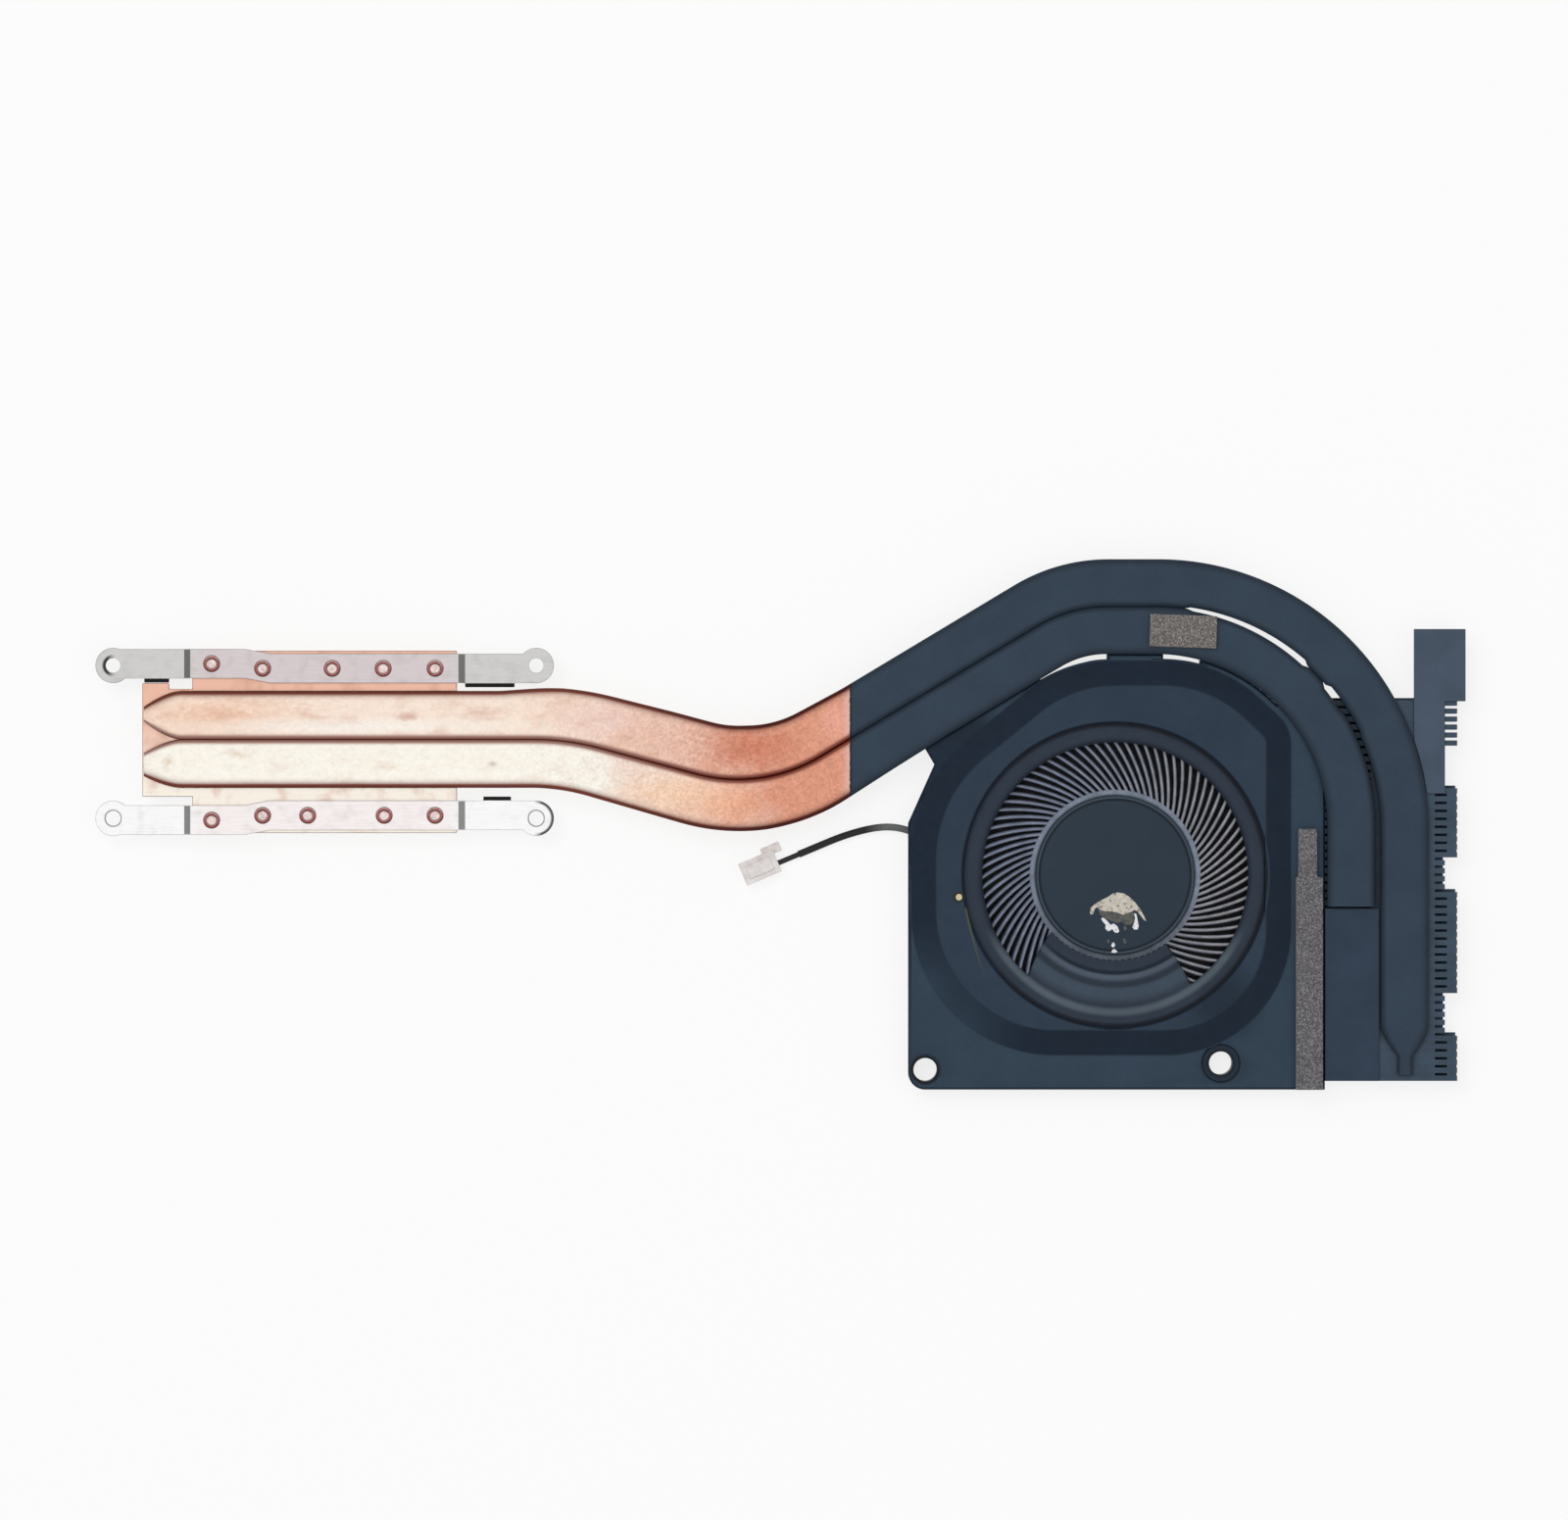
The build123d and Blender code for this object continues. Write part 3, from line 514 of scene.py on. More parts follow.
def pipe_finish(name, pale, warm_start, warm_end, crease, clouded, stains):
    """Bare copper, mottled, with painted shade on its rounded sides, redder on the crease's side; it ends
    at a straight edge of dark paint.
    """
    skin = Surface(name, specular=0.22)
    uneven = skin.math("ADD", skin.x, skin.vary(6.0, -6.0, 6.0, 4.0))
    # Near-white copper towards the left, partly a painted highlight, warming to copper along the pipe
    copper = skin.mix(skin.ramp(uneven, warm_start, warm_end), pale, (226, 158, 132))
    mottle = skin.grain(0.7, 4.0, skin.stretched(0.6))
    for place, reach, tint, strength in stains:
        ragged = skin.math("ADD", skin.distance(place, reach), skin.spread(mottle, -0.25, 0.25))
        copper = skin.mix(skin.ramp(ragged, 0.1, 1.0, strength, 0.0), copper, tint)
    copper = skin.shade(copper, skin.spread(mottle, 0.95, 1.04))
    grit = skin.shade(copper, skin.vary(0.45, 0.82, 1.12))
    copper = skin.mix(skin.ramp(skin.x, 30.0, 60.0, 0.3, 1.0), copper, grit)
    clouds = skin.grain(2.6, 6.0, skin.stretched(0.45))
    copper = skin.mix(skin.ramp(clouds, 0.54, 0.74, 0.0, clouded), copper, (206, 150, 120))
    fresh = skin.ramp(skin.x, PAINT_EDGE - 1.2, PAINT_EDGE - 0.2, 0.0, 0.55)
    copper = skin.mix(fresh, copper, (228, 196, 190))
    # Painted shade on the rounded sides: darker towards the dip, lighter where pressed to the neighbour
    level = skin.ramp(skin.flatness, 0.93, 0.9975)
    flank_shade_towards_dip = skin.ramp(skin.x, 40.0, 75.0)
    shaded_flank = skin.mix(flank_shade_towards_dip, (136, 78, 66), (92, 46, 40))
    pressed = skin.mix(flank_shade_towards_dip, (187, 148, 137), (157, 92, 78))
    shaded_flank = skin.mix(skin.ramp(skin.facing_back, 0.0, 0.08 * crease), shaded_flank, pressed)
    copper = skin.mix(level, shaded_flank, copper)

    # Painted shade on the rounded sides of the painted part too
    slate = skin.speckle(skin.mix(level, (36, 48, 61), (46, 61, 77)), 0.08)
    edge = skin.math("ADD", skin.x, skin.vary(0.6, -0.08, 0.08))
    painted = skin.ramp(edge, PAINT_EDGE, PAINT_EDGE + 0.15)
    slate = skin.mix(skin.ramp(edge, PAINT_EDGE + 0.1, PAINT_EDGE + 0.7), (30, 26, 30), slate)
    roughness = skin.ramp(painted, 0.0, 1.0, 0.36, 0.5)
    bare = skin.math("SUBTRACT", 1.0, painted)
    height = skin.grain(0.3, 3.0, skin.stretched(0.2))
    return skin.finish(skin.mix(painted, copper, slate), roughness, bare, height, 0.008)


def plate_copper():
    """Rolled copper sheet with long fine lines and faint stains, paler towards its lower side as painted
    light, and painted shade on its eased edges.
    """
    skin = Surface("plate_copper", metallic=1.0)
    lines = skin.grain(0.2, 3.0, skin.stretched(0.03))
    # Painted light: paler, near-white copper towards the lower side
    base = skin.mix(skin.ramp(skin.y, 4.0, -8.0), (243, 194, 172), (255, 246, 234))
    base = skin.mix(skin.ramp(skin.grain(3.0, 5.0), 0.5, 0.75, 0.0, 0.5), base, (205, 150, 126))
    # Painted shade on the eased edges
    base = skin.mix(skin.ramp(skin.flatness, 0.6, 0.97), (110, 62, 48), base)
    base = skin.shade(base, skin.spread(lines, 0.94, 1.04))
    return skin.finish(base, skin.spread(lines, 0.3, 0.45), height=lines, depth=0.006)


def spring_steel(name, colour, arm_colour, eye_shade):
    """Satin strip, brushed along its length, with painted shade on its folds and eased edges, dark lugs and
    a crescent of painted shade in one eye.
    """
    skin = Surface(name, metallic=1.0)
    lines = skin.grain(0.16, 3.0, skin.stretched(0.04))
    reach = skin.math("ABSOLUTE", skin.x)
    colour = skin.mix(skin.ramp(reach, 20.0, 24.0), colour, arm_colour)
    stains = skin.ramp(skin.grain(2.2, 5.0), 0.5, 0.75, 0.0, 0.45)
    base = skin.mix(stains, colour, skin.shade(colour, 0.72))
    base = skin.shade(base, skin.spread(lines, 0.9, 1.06))
    # Painted shade on the folds and eased edges
    base = skin.mix(skin.ramp(skin.flatness, 0.8, 0.985), skin.shade(colour, 0.5), base)
    inner_edge = BRACKET_ROW - BRACKET_HALF_WIDTH - 0.02
    jogged = skin.math("LESS_THAN", skin.x, JOG_X)
    limit = skin.ramp(jogged, 0.0, 1.0, inner_edge, inner_edge + BRACKET_JOG)
    lug = skin.math("LESS_THAN", skin.math("ABSOLUTE", skin.y), limit)
    for test, end in zip(("GREATER_THAN", "LESS_THAN"), LUG_REACH):
        lug = skin.both(lug, skin.math(test, reach, end))
    base = skin.mix(lug, base, (38, 34, 36))
    # Painted shade: a crescent on one side of one eye
    place, near, far, side, grey = eye_shade
    away = skin.distance(place)
    inside = skin.ramp(away, far - 0.1, far + 0.2, 1.0, 0.0)
    ring = skin.both(skin.ramp(away, near - 0.2, near + 0.1), inside)
    side_in_shade = skin.ramp(skin.x, place[0] - side * 0.4, place[0] + side * 0.9)
    base = skin.mix(skin.both(ring, side_in_shade), base, (grey, grey, grey))
    return skin.finish(base, skin.spread(lines, 0.28, 0.42), height=lines, depth=0.008)


def fin_metal():
    """Blackened aluminium sheet: slate faces, paler folded edges, sides a little darker as painted shade,
    and a painted shadow left of the outer pipe.
    """
    skin = Surface("fin_metal", specular=0.25)
    # Painted shade: faces turned from level a little darker
    colour = skin.mix(skin.ramp(skin.flatness, 0.2, 0.9), (52, 66, 82), (57, 72, 88))
    # Painted shadow: the fins left of the outer pipe take a darker slate
    right, below = FIN_SHADOW_EDGE
    right_of_shadow = skin.ramp(skin.x, right - 0.15, right + 0.15)
    below_shadow = skin.ramp(skin.y, below + 1.0, below - 1.0)
    colour = skin.mix(skin.math("MAXIMUM", right_of_shadow, below_shadow), (26, 36, 48), colour)
    return skin.finish(skin.speckle(colour, 0.14, 0.15, 4.0), skin.vary(0.8, 0.38, 0.52))


def moulded(name, colour, strength=0.1):
    """Moulded plastic with a fine spark-eroded grain."""
    skin = Surface(name, specular=0.3)
    base = skin.speckle(colour, strength, 0.12, 5.0)
    return skin.finish(base, skin.vary(1.2, 0.42, 0.58), height=skin.grain(0.1, 2.0), depth=0.004)


def metal(name, colour, roughness=0.35, strength=0.1, grain=0.3):
    """Plain metal with a fine uneven grain."""
    skin = Surface(name, metallic=1.0)
    base = skin.speckle(colour, strength, grain, 10 * grain)
    rough = skin.vary(grain, roughness - 0.08, roughness + 0.08)
    return skin.finish(base, rough, height=skin.grain(grain, 2.0), depth=0.01)


def rivet_copper():
    """Struck copper: a near-white dimple, a painted highlight, in a maroon crown; painted shade round the
    head and on the side away from the light, a painted highlight on the side towards it.
    """
    skin = Surface("rivet_copper", metallic=1.0)
    seat = box("upper_spring_bracket")[1].z
    crown = skin.ramp(skin.z, seat + 0.5 * RIVET_HEIGHT, seat + 0.85 * RIVET_HEIGHT)
    # Painted light: a near-white dimple as a highlight, a lit and a shaded side by facing, painted shade on
    # the steep rim
    base = skin.mix(crown, (250, 230, 226), (178, 108, 104))
    base = skin.mix(skin.ramp(skin.facing_back, -0.05, -0.4, 0.0, 0.75), base, (120, 62, 62))
    base = skin.mix(skin.ramp(skin.facing_back, 0.05, 0.35, 0.0, 0.6), base, (250, 232, 228))
    base = skin.mix(skin.ramp(skin.flatness, 0.3, 0.8), (112, 50, 50), base)
    patches = skin.ramp(skin.grain(0.5, 3.0), 0.35, 0.7, 0.72, 1.06)
    return skin.finish(skin.shade(base, patches), skin.vary(0.4, 0.25, 0.45))


def foam_finish(name, colour):
    """Open-cell foam: pale cell walls round dark pores, their darkness a painted shade."""
    skin = Surface(name, specular=0.1, roughness=0.95, sheen=0.15)
    # Painted shade in the pores
    pores = skin.ramp(skin.cells(0.32), 0.1, 0.55, 1.25, 0.55)
    base = skin.shade(colour, skin.both(pores, skin.vary(0.3, 0.55, 1.45, 4.0)))
    return skin.finish(base, height=skin.grain(0.22, 3.0), depth=0.06)


def plug_nylon():
    """Milky natural nylon."""
    skin = Surface("plug_nylon", specular=0.3, roughness=0.5)
    base = skin.mix(skin.vary(1.6, 0.0, 1.0), (214, 207, 205), (240, 235, 233))
    return skin.finish(base, height=skin.grain(0.3), depth=0.01)


def sleeve_finish():
    """Black woven sleeve, greyer where it comes out of the blower."""
    skin = Surface("lead_sleeve", specular=0.25, roughness=0.6)
    base = skin.mix(skin.ramp(skin.x, 92.0, 95.5), (38, 38, 40), (104, 106, 106))
    weave = skin.grain(0.18, 2.0)
    return skin.finish(skin.shade(base, skin.spread(weave, 0.75, 1.2)), height=weave, depth=0.03)


def foil_finish(name, colour, stain, stained, metallic):
    """Crinkled remains of foil with dark spots where it is worn through."""
    skin = Surface(name, metallic=metallic)
    spots = skin.ramp(skin.grain(0.75, 3.0), 0.58 - stained, 0.72 - stained, 0.0, 0.85)
    colour = skin.shade(colour, skin.vary(0.5, 0.78, 1.12, 2.0))
    crinkles = skin.grain(0.5, 4.0)
    base = skin.mix(spots, colour, stain)
    return skin.finish(base, skin.spread(crinkles, 0.3, 0.5), height=crinkles, depth=0.06)


def scratch_line(skin):
    """Strength of a fine scratch that runs from the stake past the inlet's step."""
    start, end = (Vector(place) for place in SCRATCH)
    heading = (end - start).normalized()
    aside = skin.vector("SUBTRACT", skin.place, (*start, 0.0))[0]
    along = skin.vector("DOT_PRODUCT", aside, (*heading, 0.0))["Value"]
    across = skin.vector("DOT_PRODUCT", aside, (-heading.y, heading.x, 0.0))["Value"]
    gap = skin.off(across, skin.both(skin.both(along, along), SCRATCH_BOW))
    fade = skin.both(skin.ramp(along, 0.0, 0.5), skin.ramp(along, 3.0, 13.0, 1.0, 0.0))
    return skin.both(skin.ramp(gap, 0.1, 0.3, 0.8, 0.0), fade)


def cover_paint():
    """Satin slate paint: painted shade on the slope, at a corner, on a shoulder and in the inlet's step;
    greyer on the lip, with painted shade where it leans and painted reflections and shade in bands on its
    tongue.
    """
    skin = Surface("cover_paint", specular=0.2)
    low, high = box("fan_cover")
    # Painted shade: darker on the slope, less so near one corner, and darker at a corner and on the flange
    # near a shoulder
    soft = skin.ramp(skin.distance(SLOPE_SHADE_FADE), 6.0, 16.0, 0.6, 0.0)
    level = skin.math("MAXIMUM", skin.ramp(skin.flatness, 0.984, 0.998), soft)
    shoulder = skin.ramp(skin.distance(SHADED_SHOULDER), 13.0, 17.0, 0.85, 0.0)
    flange = skin.mix(shoulder, (45, 62, 78), (11, 28, 44))
    raised = skin.ramp(skin.z, low.z + COVER_THICKNESS + 0.05, high.z - 0.05)
    flat = skin.mix(raised, flange, (40, 55, 71))
    flat = skin.mix(skin.ramp(skin.distance(SHADED_CORNER), 3.0, 8.0, 0.8, 0.0), flat, (20, 35, 50))
    colour = skin.mix(level, (11, 28, 44), flat)

    reach = skin.distance(AXIS)
    # Painted shade on the lip where it leans; painted reflections and shade in bands on the lower side
    lip = skin.mix(skin.ramp(skin.flatness, 0.94, 0.9985), (22, 31, 44), (41, 51, 65))
    lower = skin.ramp(skin.y, AXIS[1] - 9.0, AXIS[1] - 14.0)
    for middle, half, tint in TONGUE_REFLECTIONS_AND_SHADE:
        band = skin.ramp(skin.off(reach, middle), 0.3 * half, half, 1.0, 0.0)
        lip = skin.mix(skin.both(band, lower), lip, tint)
    colour = skin.mix(skin.ramp(reach, RING_RADIUS - 0.4, RING_RADIUS - 0.1, 1.0, 0.0), colour, lip)
    # Painted shade: a dark ring in the coined step, fainter to the left
    groove = skin.ramp(skin.off(reach, RING_RADIUS - 0.2), 0.15, 0.6, 1.0, 0.0)
    faint = skin.ramp(skin.x, AXIS[0] - 25.0, AXIS[0] - 15.0, 0.45, 1.0)
    colour = skin.mix(skin.both(groove, faint), colour, (10, 16, 26))
    for place, near, far, strength, tint in COVER_HALOS:
        colour = skin.mix(skin.ramp(skin.distance(place), near, far, strength, 0.0), colour, tint)
    colour = skin.mix(scratch_line(skin), colour, (78, 82, 70))
    return skin.satin(skin.speckle(colour, 0.07))


def hub_finish():
    """Smooth dark plastic, lighter outside its groove as partly painted highlight, with painted shade in
    the groove near its edge and at the cap's edge.
    """
    skin = Surface("hub_plastic", specular=0.25)
    reach = skin.distance(AXIS)
    # Lighter outside the groove, partly a painted highlight; painted shade in the groove and at the cap's
    # edge
    colour = skin.mix(skin.ramp(reach, HUB_GROOVE, HUB_GROOVE + 0.3), (31, 47, 61), (58, 74, 88))
    colour = skin.mix(skin.ramp(skin.off(reach, HUB_GROOVE), 0.08, 0.34, 1.0, 0.0), colour, (12, 20, 30))
    colour = skin.mix(skin.ramp(reach, HUB_CAP_RADIUS - 0.2, HUB_CAP_RADIUS), colour, (14, 20, 28))
    return skin.finish(skin.speckle(colour, 0.04, 0.12, 5.0), skin.vary(1.2, 0.35, 0.45))


def blade_finish():
    """Grey plastic: a painted highlight on the ring round the hub, darker at its lower side, and blades
    lighter to the right as painted light and darker down from their top edges as painted shade.
    """
    skin = Surface("blade_plastic", specular=0.35)
    reach = skin.distance(AXIS)
    # Painted highlight on the ring round the hub, with painted shade towards its lower side
    ring = skin.mix(skin.ramp(reach, HUB_RADIUS - 1.0, HUB_RADIUS - 0.7), (44, 56, 68), (116, 126, 142))
    ring = skin.shade(ring, skin.ramp(skin.y, AXIS[1] - 13.0, AXIS[1] - 3.0, 0.5, 1.1))
    lit = skin.mix(skin.ramp(skin.x, AXIS[0] - 8.0, AXIS[0] + 20.0), (120, 127, 146), (146, 146, 152))
    base = skin.mix(skin.ramp(reach, HUB_RADIUS - 0.35, HUB_RADIUS + 0.2), ring, lit)
    # Painted shade: darker down from the blades' top edges
    base = skin.shade(base, skin.ramp(skin.z, -0.4, HUB_SHOULDER, 0.5, 1.0))
    base = skin.shade(base, skin.vary(1.5, 0.75, 1.2, 4.0))
    return skin.finish(base, skin.vary(0.6, 0.4, 0.6))


def floor_white():
    """White for the camera and for reflections, with part of the object's shadow kept."""
    material = bpy.data.materials.new("floor_white")
    nodes = Nodes(material)
    nodes.tree.nodes.clear()
    path = nodes.add("LightPath")
    seen = nodes.math("MAXIMUM", path["Is Camera Ray"], path["Is Glossy Ray"])
    seen = nodes.math("MAXIMUM", seen, path["Is Transmission Ray"])
    matt = nodes.add("BsdfDiffuse", {"Color": tone((250, 250, 250))})[0]
    glow = nodes.add("Emission")[0]
    mixed = nodes.add("MixShader", {0: nodes.math("MULTIPLY", seen, FLOOR_GLOW), 1: matt, 2: glow})
    nodes.add("OutputMaterial", {0: mixed[0]})
    return material


def studio_world():
    """A white world that dims towards the horizon in reflections."""
    world = bpy.data.worlds.new("studio")
    nodes = Nodes(world)
    direction = nodes.add("SeparateXYZ", {0: nodes.add("TexCoord")["Generated"]})
    height = nodes.ramp(direction["Z"], 0.1, 0.9, HORIZON_LIGHT)
    strength = nodes.ramp(nodes.add("LightPath")["Is Diffuse Ray"], 0.0, 1.0, height, WORLD_LIGHT)
    backdrop = nodes.tree.nodes["Background"].inputs
    backdrop["Color"].default_value = (1, 1, 1, 1)
    nodes.feed(backdrop["Strength"], strength)
    return world


def softbox(name, place, size, power, target):
    """A square area lamp that shines at a point."""
    lamp = bpy.data.lights.new(name, "AREA")
    lamp.size = size
    lamp.energy = power
    made = placed(name, lamp)
    made.location = place
    made.visible_camera = False
    made.visible_glossy = False
    made.rotation_euler = (Vector(target) - made.location).to_track_quat("-Z", "Y").to_euler()


def studio():
    """Camera, floor, lamps and world."""
    scene = bpy.context.scene
    scene.view_settings.view_transform = "Standard"
    centre_x = (PHOTO_WIDTH / 2 - ORIGIN_PIXEL[0]) / PIXELS_PER_MM * MM
    centre_y = (ORIGIN_PIXEL[1] - PHOTO_HEIGHT / 2) / PIXELS_PER_MM * MM
    frame_width = PHOTO_WIDTH / PIXELS_PER_MM * MM
    camera = bpy.data.cameras.new("camera")
    camera.sensor_width = SENSOR
    camera.lens = LENS
    viewer = placed("camera", camera)
    viewer.location = (centre_x, centre_y, FOCUS_HEIGHT * MM + frame_width * LENS / SENSOR)
    scene.camera = viewer

    half = FLOOR_SIZE / 2
    level = cad_box[0][2]
    sides = ((-1, -1), (1, -1), (1, 1), (-1, 1))
    sheet = bpy.data.meshes.new("floor")
    corners = [(centre_x + x * half, centre_y + y * half, level) for x, y in sides]
    sheet.from_pydata(corners, [], [(0, 1, 2, 3)])
    sheet.materials.append(floor_white())
    floor = placed("floor", sheet)

    for name, place, size, power in LAMPS:
        softbox(name, place, size, power, (centre_x, centre_y, 0))
    scene.world = studio_world()


def ring_faces(rings, sides, capped=True):
    """Faces between rows of closed rings, with a face over the first and the last."""
    faces = []
    for low in range(0, (rings - 1) * sides, sides):
        for side in range(sides):
            following = (side + 1) % sides
            faces.append((low + side, low + following, low + sides + following, low + sides + side))
    if capped:
        faces.append(tuple(range(sides)))
        faces.append(tuple(range((rings - 1) * sides, rings * sides)))
    return faces


def circle(place, radius, count):
    """Points round a circle."""
    turns = [2 * pi * index / count for index in range(count)]
    return [(place[0] + radius * cos(turn), place[1] + radius * sin(turn)) for turn in turns]


def turned(profile, sides, place):
    """Vertices and faces of a closed (radius, height) profile turned about an upright axis."""
    vertices = [(x, y, height) for radius, height in profile for x, y in circle(place, radius, sides)]
    return vertices, ring_faces(len(profile), sides)


def joined(parts):
    """Several (vertices, faces) pairs as one."""
    vertices = []
    faces = []
    for more, more_faces in parts:
        faces += [tuple(index + len(vertices) for index in face) for face in more_faces]
        vertices += more
    return vertices, faces


def heads(name, outline, radius, height, seat, sides, places):
    """A mesh of small turned heads, their outline in shares of a radius and a height."""
    profile = [(share * radius, seat + rise * height) for share, rise in outline]
    return mesh_of(name, *joined([turned(profile, sides, place) for place in places]))


def headings(points):
    """The direction of a line of points at each of them."""
    neighbours = zip(points[:1] + points[:-1], points[1:] + points[-1:])
    return [(after - before).normalized() for before, after in neighbours]


def tube(points, radius, sides):
    """Vertices and faces of a round tube along points, closed at both ends."""
    vertices = []
    for point, heading in zip(points, headings(points)):
        across = heading.cross(Vector((0, 0, 1))).normalized()
        up = across.cross(heading)
        vertices += [point + across * x + up * y for x, y in circle((0, 0), radius, sides)]
    return vertices, ring_faces(len(points), sides)


def route_points(curve, name):
    """Points along a curve's own spline."""
    bare = curve.copy()
    bare.bevel_depth = 0
    carrier = bpy.data.objects.new(name, bare)
    line = bpy.data.meshes.new_from_object(carrier)
    points = [vertex.co / MM for vertex in line.vertices]
    bpy.data.objects.remove(carrier)
    bpy.data.curves.remove(bare)
    bpy.data.meshes.remove(line)
    return points


def fan_lead():
    """The lead: a bundle of wires along the route, in a sleeve that stops short of the plug."""
    wire = bpy.data.curves.new("fan_lead", "CURVE")
    wire.dimensions = "3D"
    wire.bevel_depth = BUNDLE_DIAMETER / 2 * MM
    wire.bevel_resolution = WIRE_ROUNDNESS
    wire.resolution_u = WIRE_STEPS
    wire.use_fill_caps = True
    spline = wire.splines.new("NURBS")
    spline.points.add(len(LEAD_ROUTE) - 1)
    for control, point in zip(spline.points, LEAD_ROUTE):
        control.co = (*(Vector(point) * MM), 1.0)
    spline.order_u = 3
    spline.use_endpoint_u = True
    skin = moulded("wire_skin", (40, 40, 42))
    lead = piece("fan_lead_wires", wire, [skin], replaces=["fan_lead"])

    points = route_points(wire, "fan_lead_line")
    covered = points[:int(len(points) * SLEEVE_SHARE)]
    sleeve_mesh = mesh_of("fan_lead_sleeve", *tube(covered, LEAD_DIAMETER / 2, SLEEVE_SIDES))
    sleeve = piece("fan_lead_sleeve", sleeve_mesh, [sleeve_finish()])
    plug = eased_node("fan_connector", SOFT_FOLD, PLUG_EASE, plug_nylon())


def from_solid(node):
    """A CAD node's mesh in metres, joined along its edges and with its flat faces whole."""
    shape = bmesh.new()
    shape.from_mesh(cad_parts[node].data)
    bmesh.ops.remove_doubles(shape, verts=shape.verts, dist=WELD * MM)
    bmesh.ops.dissolve_limit(shape, angle_limit=FLAT_ANGLE, verts=shape.verts, edges=shape.edges)
    return shape


def folded_edges(shape, fold):
    """Edges whose faces turn by more than an angle."""
    return [edge for edge in shape.edges if edge.is_manifold and fold < edge.calc_face_angle() < pi]


def ease(shape, edges, width, segments=2):
    """Rounds edges."""
    bmesh.ops.bevel(
        shape, geom=edges, offset=width * MM, offset_type="OFFSET", segments=segments, profile=0.5,
        affect="EDGES", clamp_overlap=True,
    )


def eased_piece(node, shape, surface):
    """A piece made from a CAD node's eased mesh, in the node's place, with its flat faces shaded flat."""
    for face in shape.faces:
        face.smooth = True
    mesh = bpy.data.meshes.new(node + "_eased")
    shape.to_mesh(mesh)
    shape.free()
    made = piece(node + "_eased", mesh, [surface], replaces=[node])
    modifier = made.modifiers.new("even_normals", "WEIGHTED_NORMAL")
    modifier.weight = FLAT_WEIGHT
    modifier.keep_sharp = True
    return made


def eased_node(node, fold, width, surface):
    """A CAD node with its edges eased."""
    shape = from_solid(node)
    ease(shape, folded_edges(shape, fold), width)
    return eased_piece(node, shape, surface)


def spring_bracket(node, colour, arm_colour, eye_shade):
    """A spring bracket: dished screw eyes, eased folds and edges."""
    shape = from_solid(node)
    rim_height = min(box(node)[1].z, ARM_TOP) - RIM_REACH

    def rims_a_hole(edge):
        x, y, z = (edge.verts[0].co + edge.verts[1].co) / (2 * MM)
        near = any(hypot(x - eye_x, y - eye_y) < EYE_HOLE_RADIUS + RIM_REACH for eye_x, eye_y in EYES)
        return near and z > rim_height

    ease(shape, [edge for edge in folded_edges(shape, SOFT_FOLD) if rims_a_hole(edge)], EYE_DISH, 3)
    ease(shape, folded_edges(shape, HARD_FOLD), EDGE_EASE)
    for face in shape.faces:
        if abs(face.normal.y) < 0.1 and STEP_LEAN[0] < abs(face.normal.z) < STEP_LEAN[1]:
            for edge in face.edges:
                edge.smooth = False
    eased_piece(node, shape, spring_steel(node + "_steel", colour, arm_colour, eye_shade))


def bracket_rivets():
    """Copper rivets with a struck dimple, five on each bracket."""
    seat = box("upper_spring_bracket")[1].z
    places = []
    for side, row in ((1, UPPER_RIVETS), (-1, LOWER_RIVETS)):
        places += [(x, side * (BRACKET_ROW + (BRACKET_JOG if x < JOG_X else 0))) for x in row]
    mesh = heads("bracket_rivets", RIVET_OUTLINE, RIVET_RADIUS, RIVET_HEIGHT, seat, RIVET_SIDES, places)
    piece("bracket_rivets", mesh, [rivet_copper()])


def rounded_path(corners, bends):
    """Points along straight runs and the arcs that join them, at most a step apart."""
    corners = [Vector(corner) for corner in corners]
    marks = [corners[0]]
    for before, here, after, bend in zip(corners, corners[1:], corners[2:], bends):
        arrive = (here - before).normalized()
        leave = (after - here).normalized()
        turn = atan2(arrive.x * leave.y - arrive.y * leave.x, arrive.dot(leave))
        inward = Vector((-arrive.y, arrive.x)) * (1 if turn > 0 else -1)
        centre = here - arrive * bend * tan(abs(turn) / 2) + inward * bend
        count = ceil(bend * abs(turn) / PATH_STEP)
        for index in range(count + 1):
            share = abs(turn) * index / count
            marks.append(centre - inward * bend * cos(share) + arrive * bend * sin(share))
    marks.append(corners[-1])
    points = [marks[0]]
    for mark in marks[1:]:
        last = points[-1]
        count = max(1, ceil((mark - last).length / PATH_STEP - 0.01))
        points += [last.lerp(mark, (index + 1) / count) for index in range(count)]
    return points


def flat_outline(left, right, edges, thickness):
    """A flattened tube's outline as (across, up) pairs: round edges, a slightly hollow top."""
    rise = thickness / 2
    share = min(1.0, (left + right) * EDGE_SHARE_LIMIT / max(edges))
    left_edge, right_edge = (edge * share for edge in edges)
    low = left_edge - left
    high = right - right_edge
    outline = []
    for index in range(PIPE_TOP_STEPS + 1):
        along = index / PIPE_TOP_STEPS
        hollow = PIPE_HOLLOW * 4 * along * (1 - along)
        outline.append((low + (high - low) * along, rise - hollow))
    turns = [pi / 2 - pi * index / PIPE_EDGE_STEPS for index in range(1, PIPE_EDGE_STEPS)]
    outline += [(high + right_edge * cos(turn), rise * sin(turn)) for turn in turns]
    outline += [(high, -rise), ((low + high) / 2, -rise), (low, -rise)]
    outline += [(low - left_edge * cos(turn), -rise * sin(turn)) for turn in turns]
    return outline


def distance_to(point, line):
    """Distance from a point to a line of points."""
    gaps = []
    for start, end in zip(line, line[1:]):
        run = end - start
        share = min(1.0, max(0.0, (point - start).dot(run) / run.length_squared))
        gaps.append((start + run * share - point).length)
    return min(gaps)


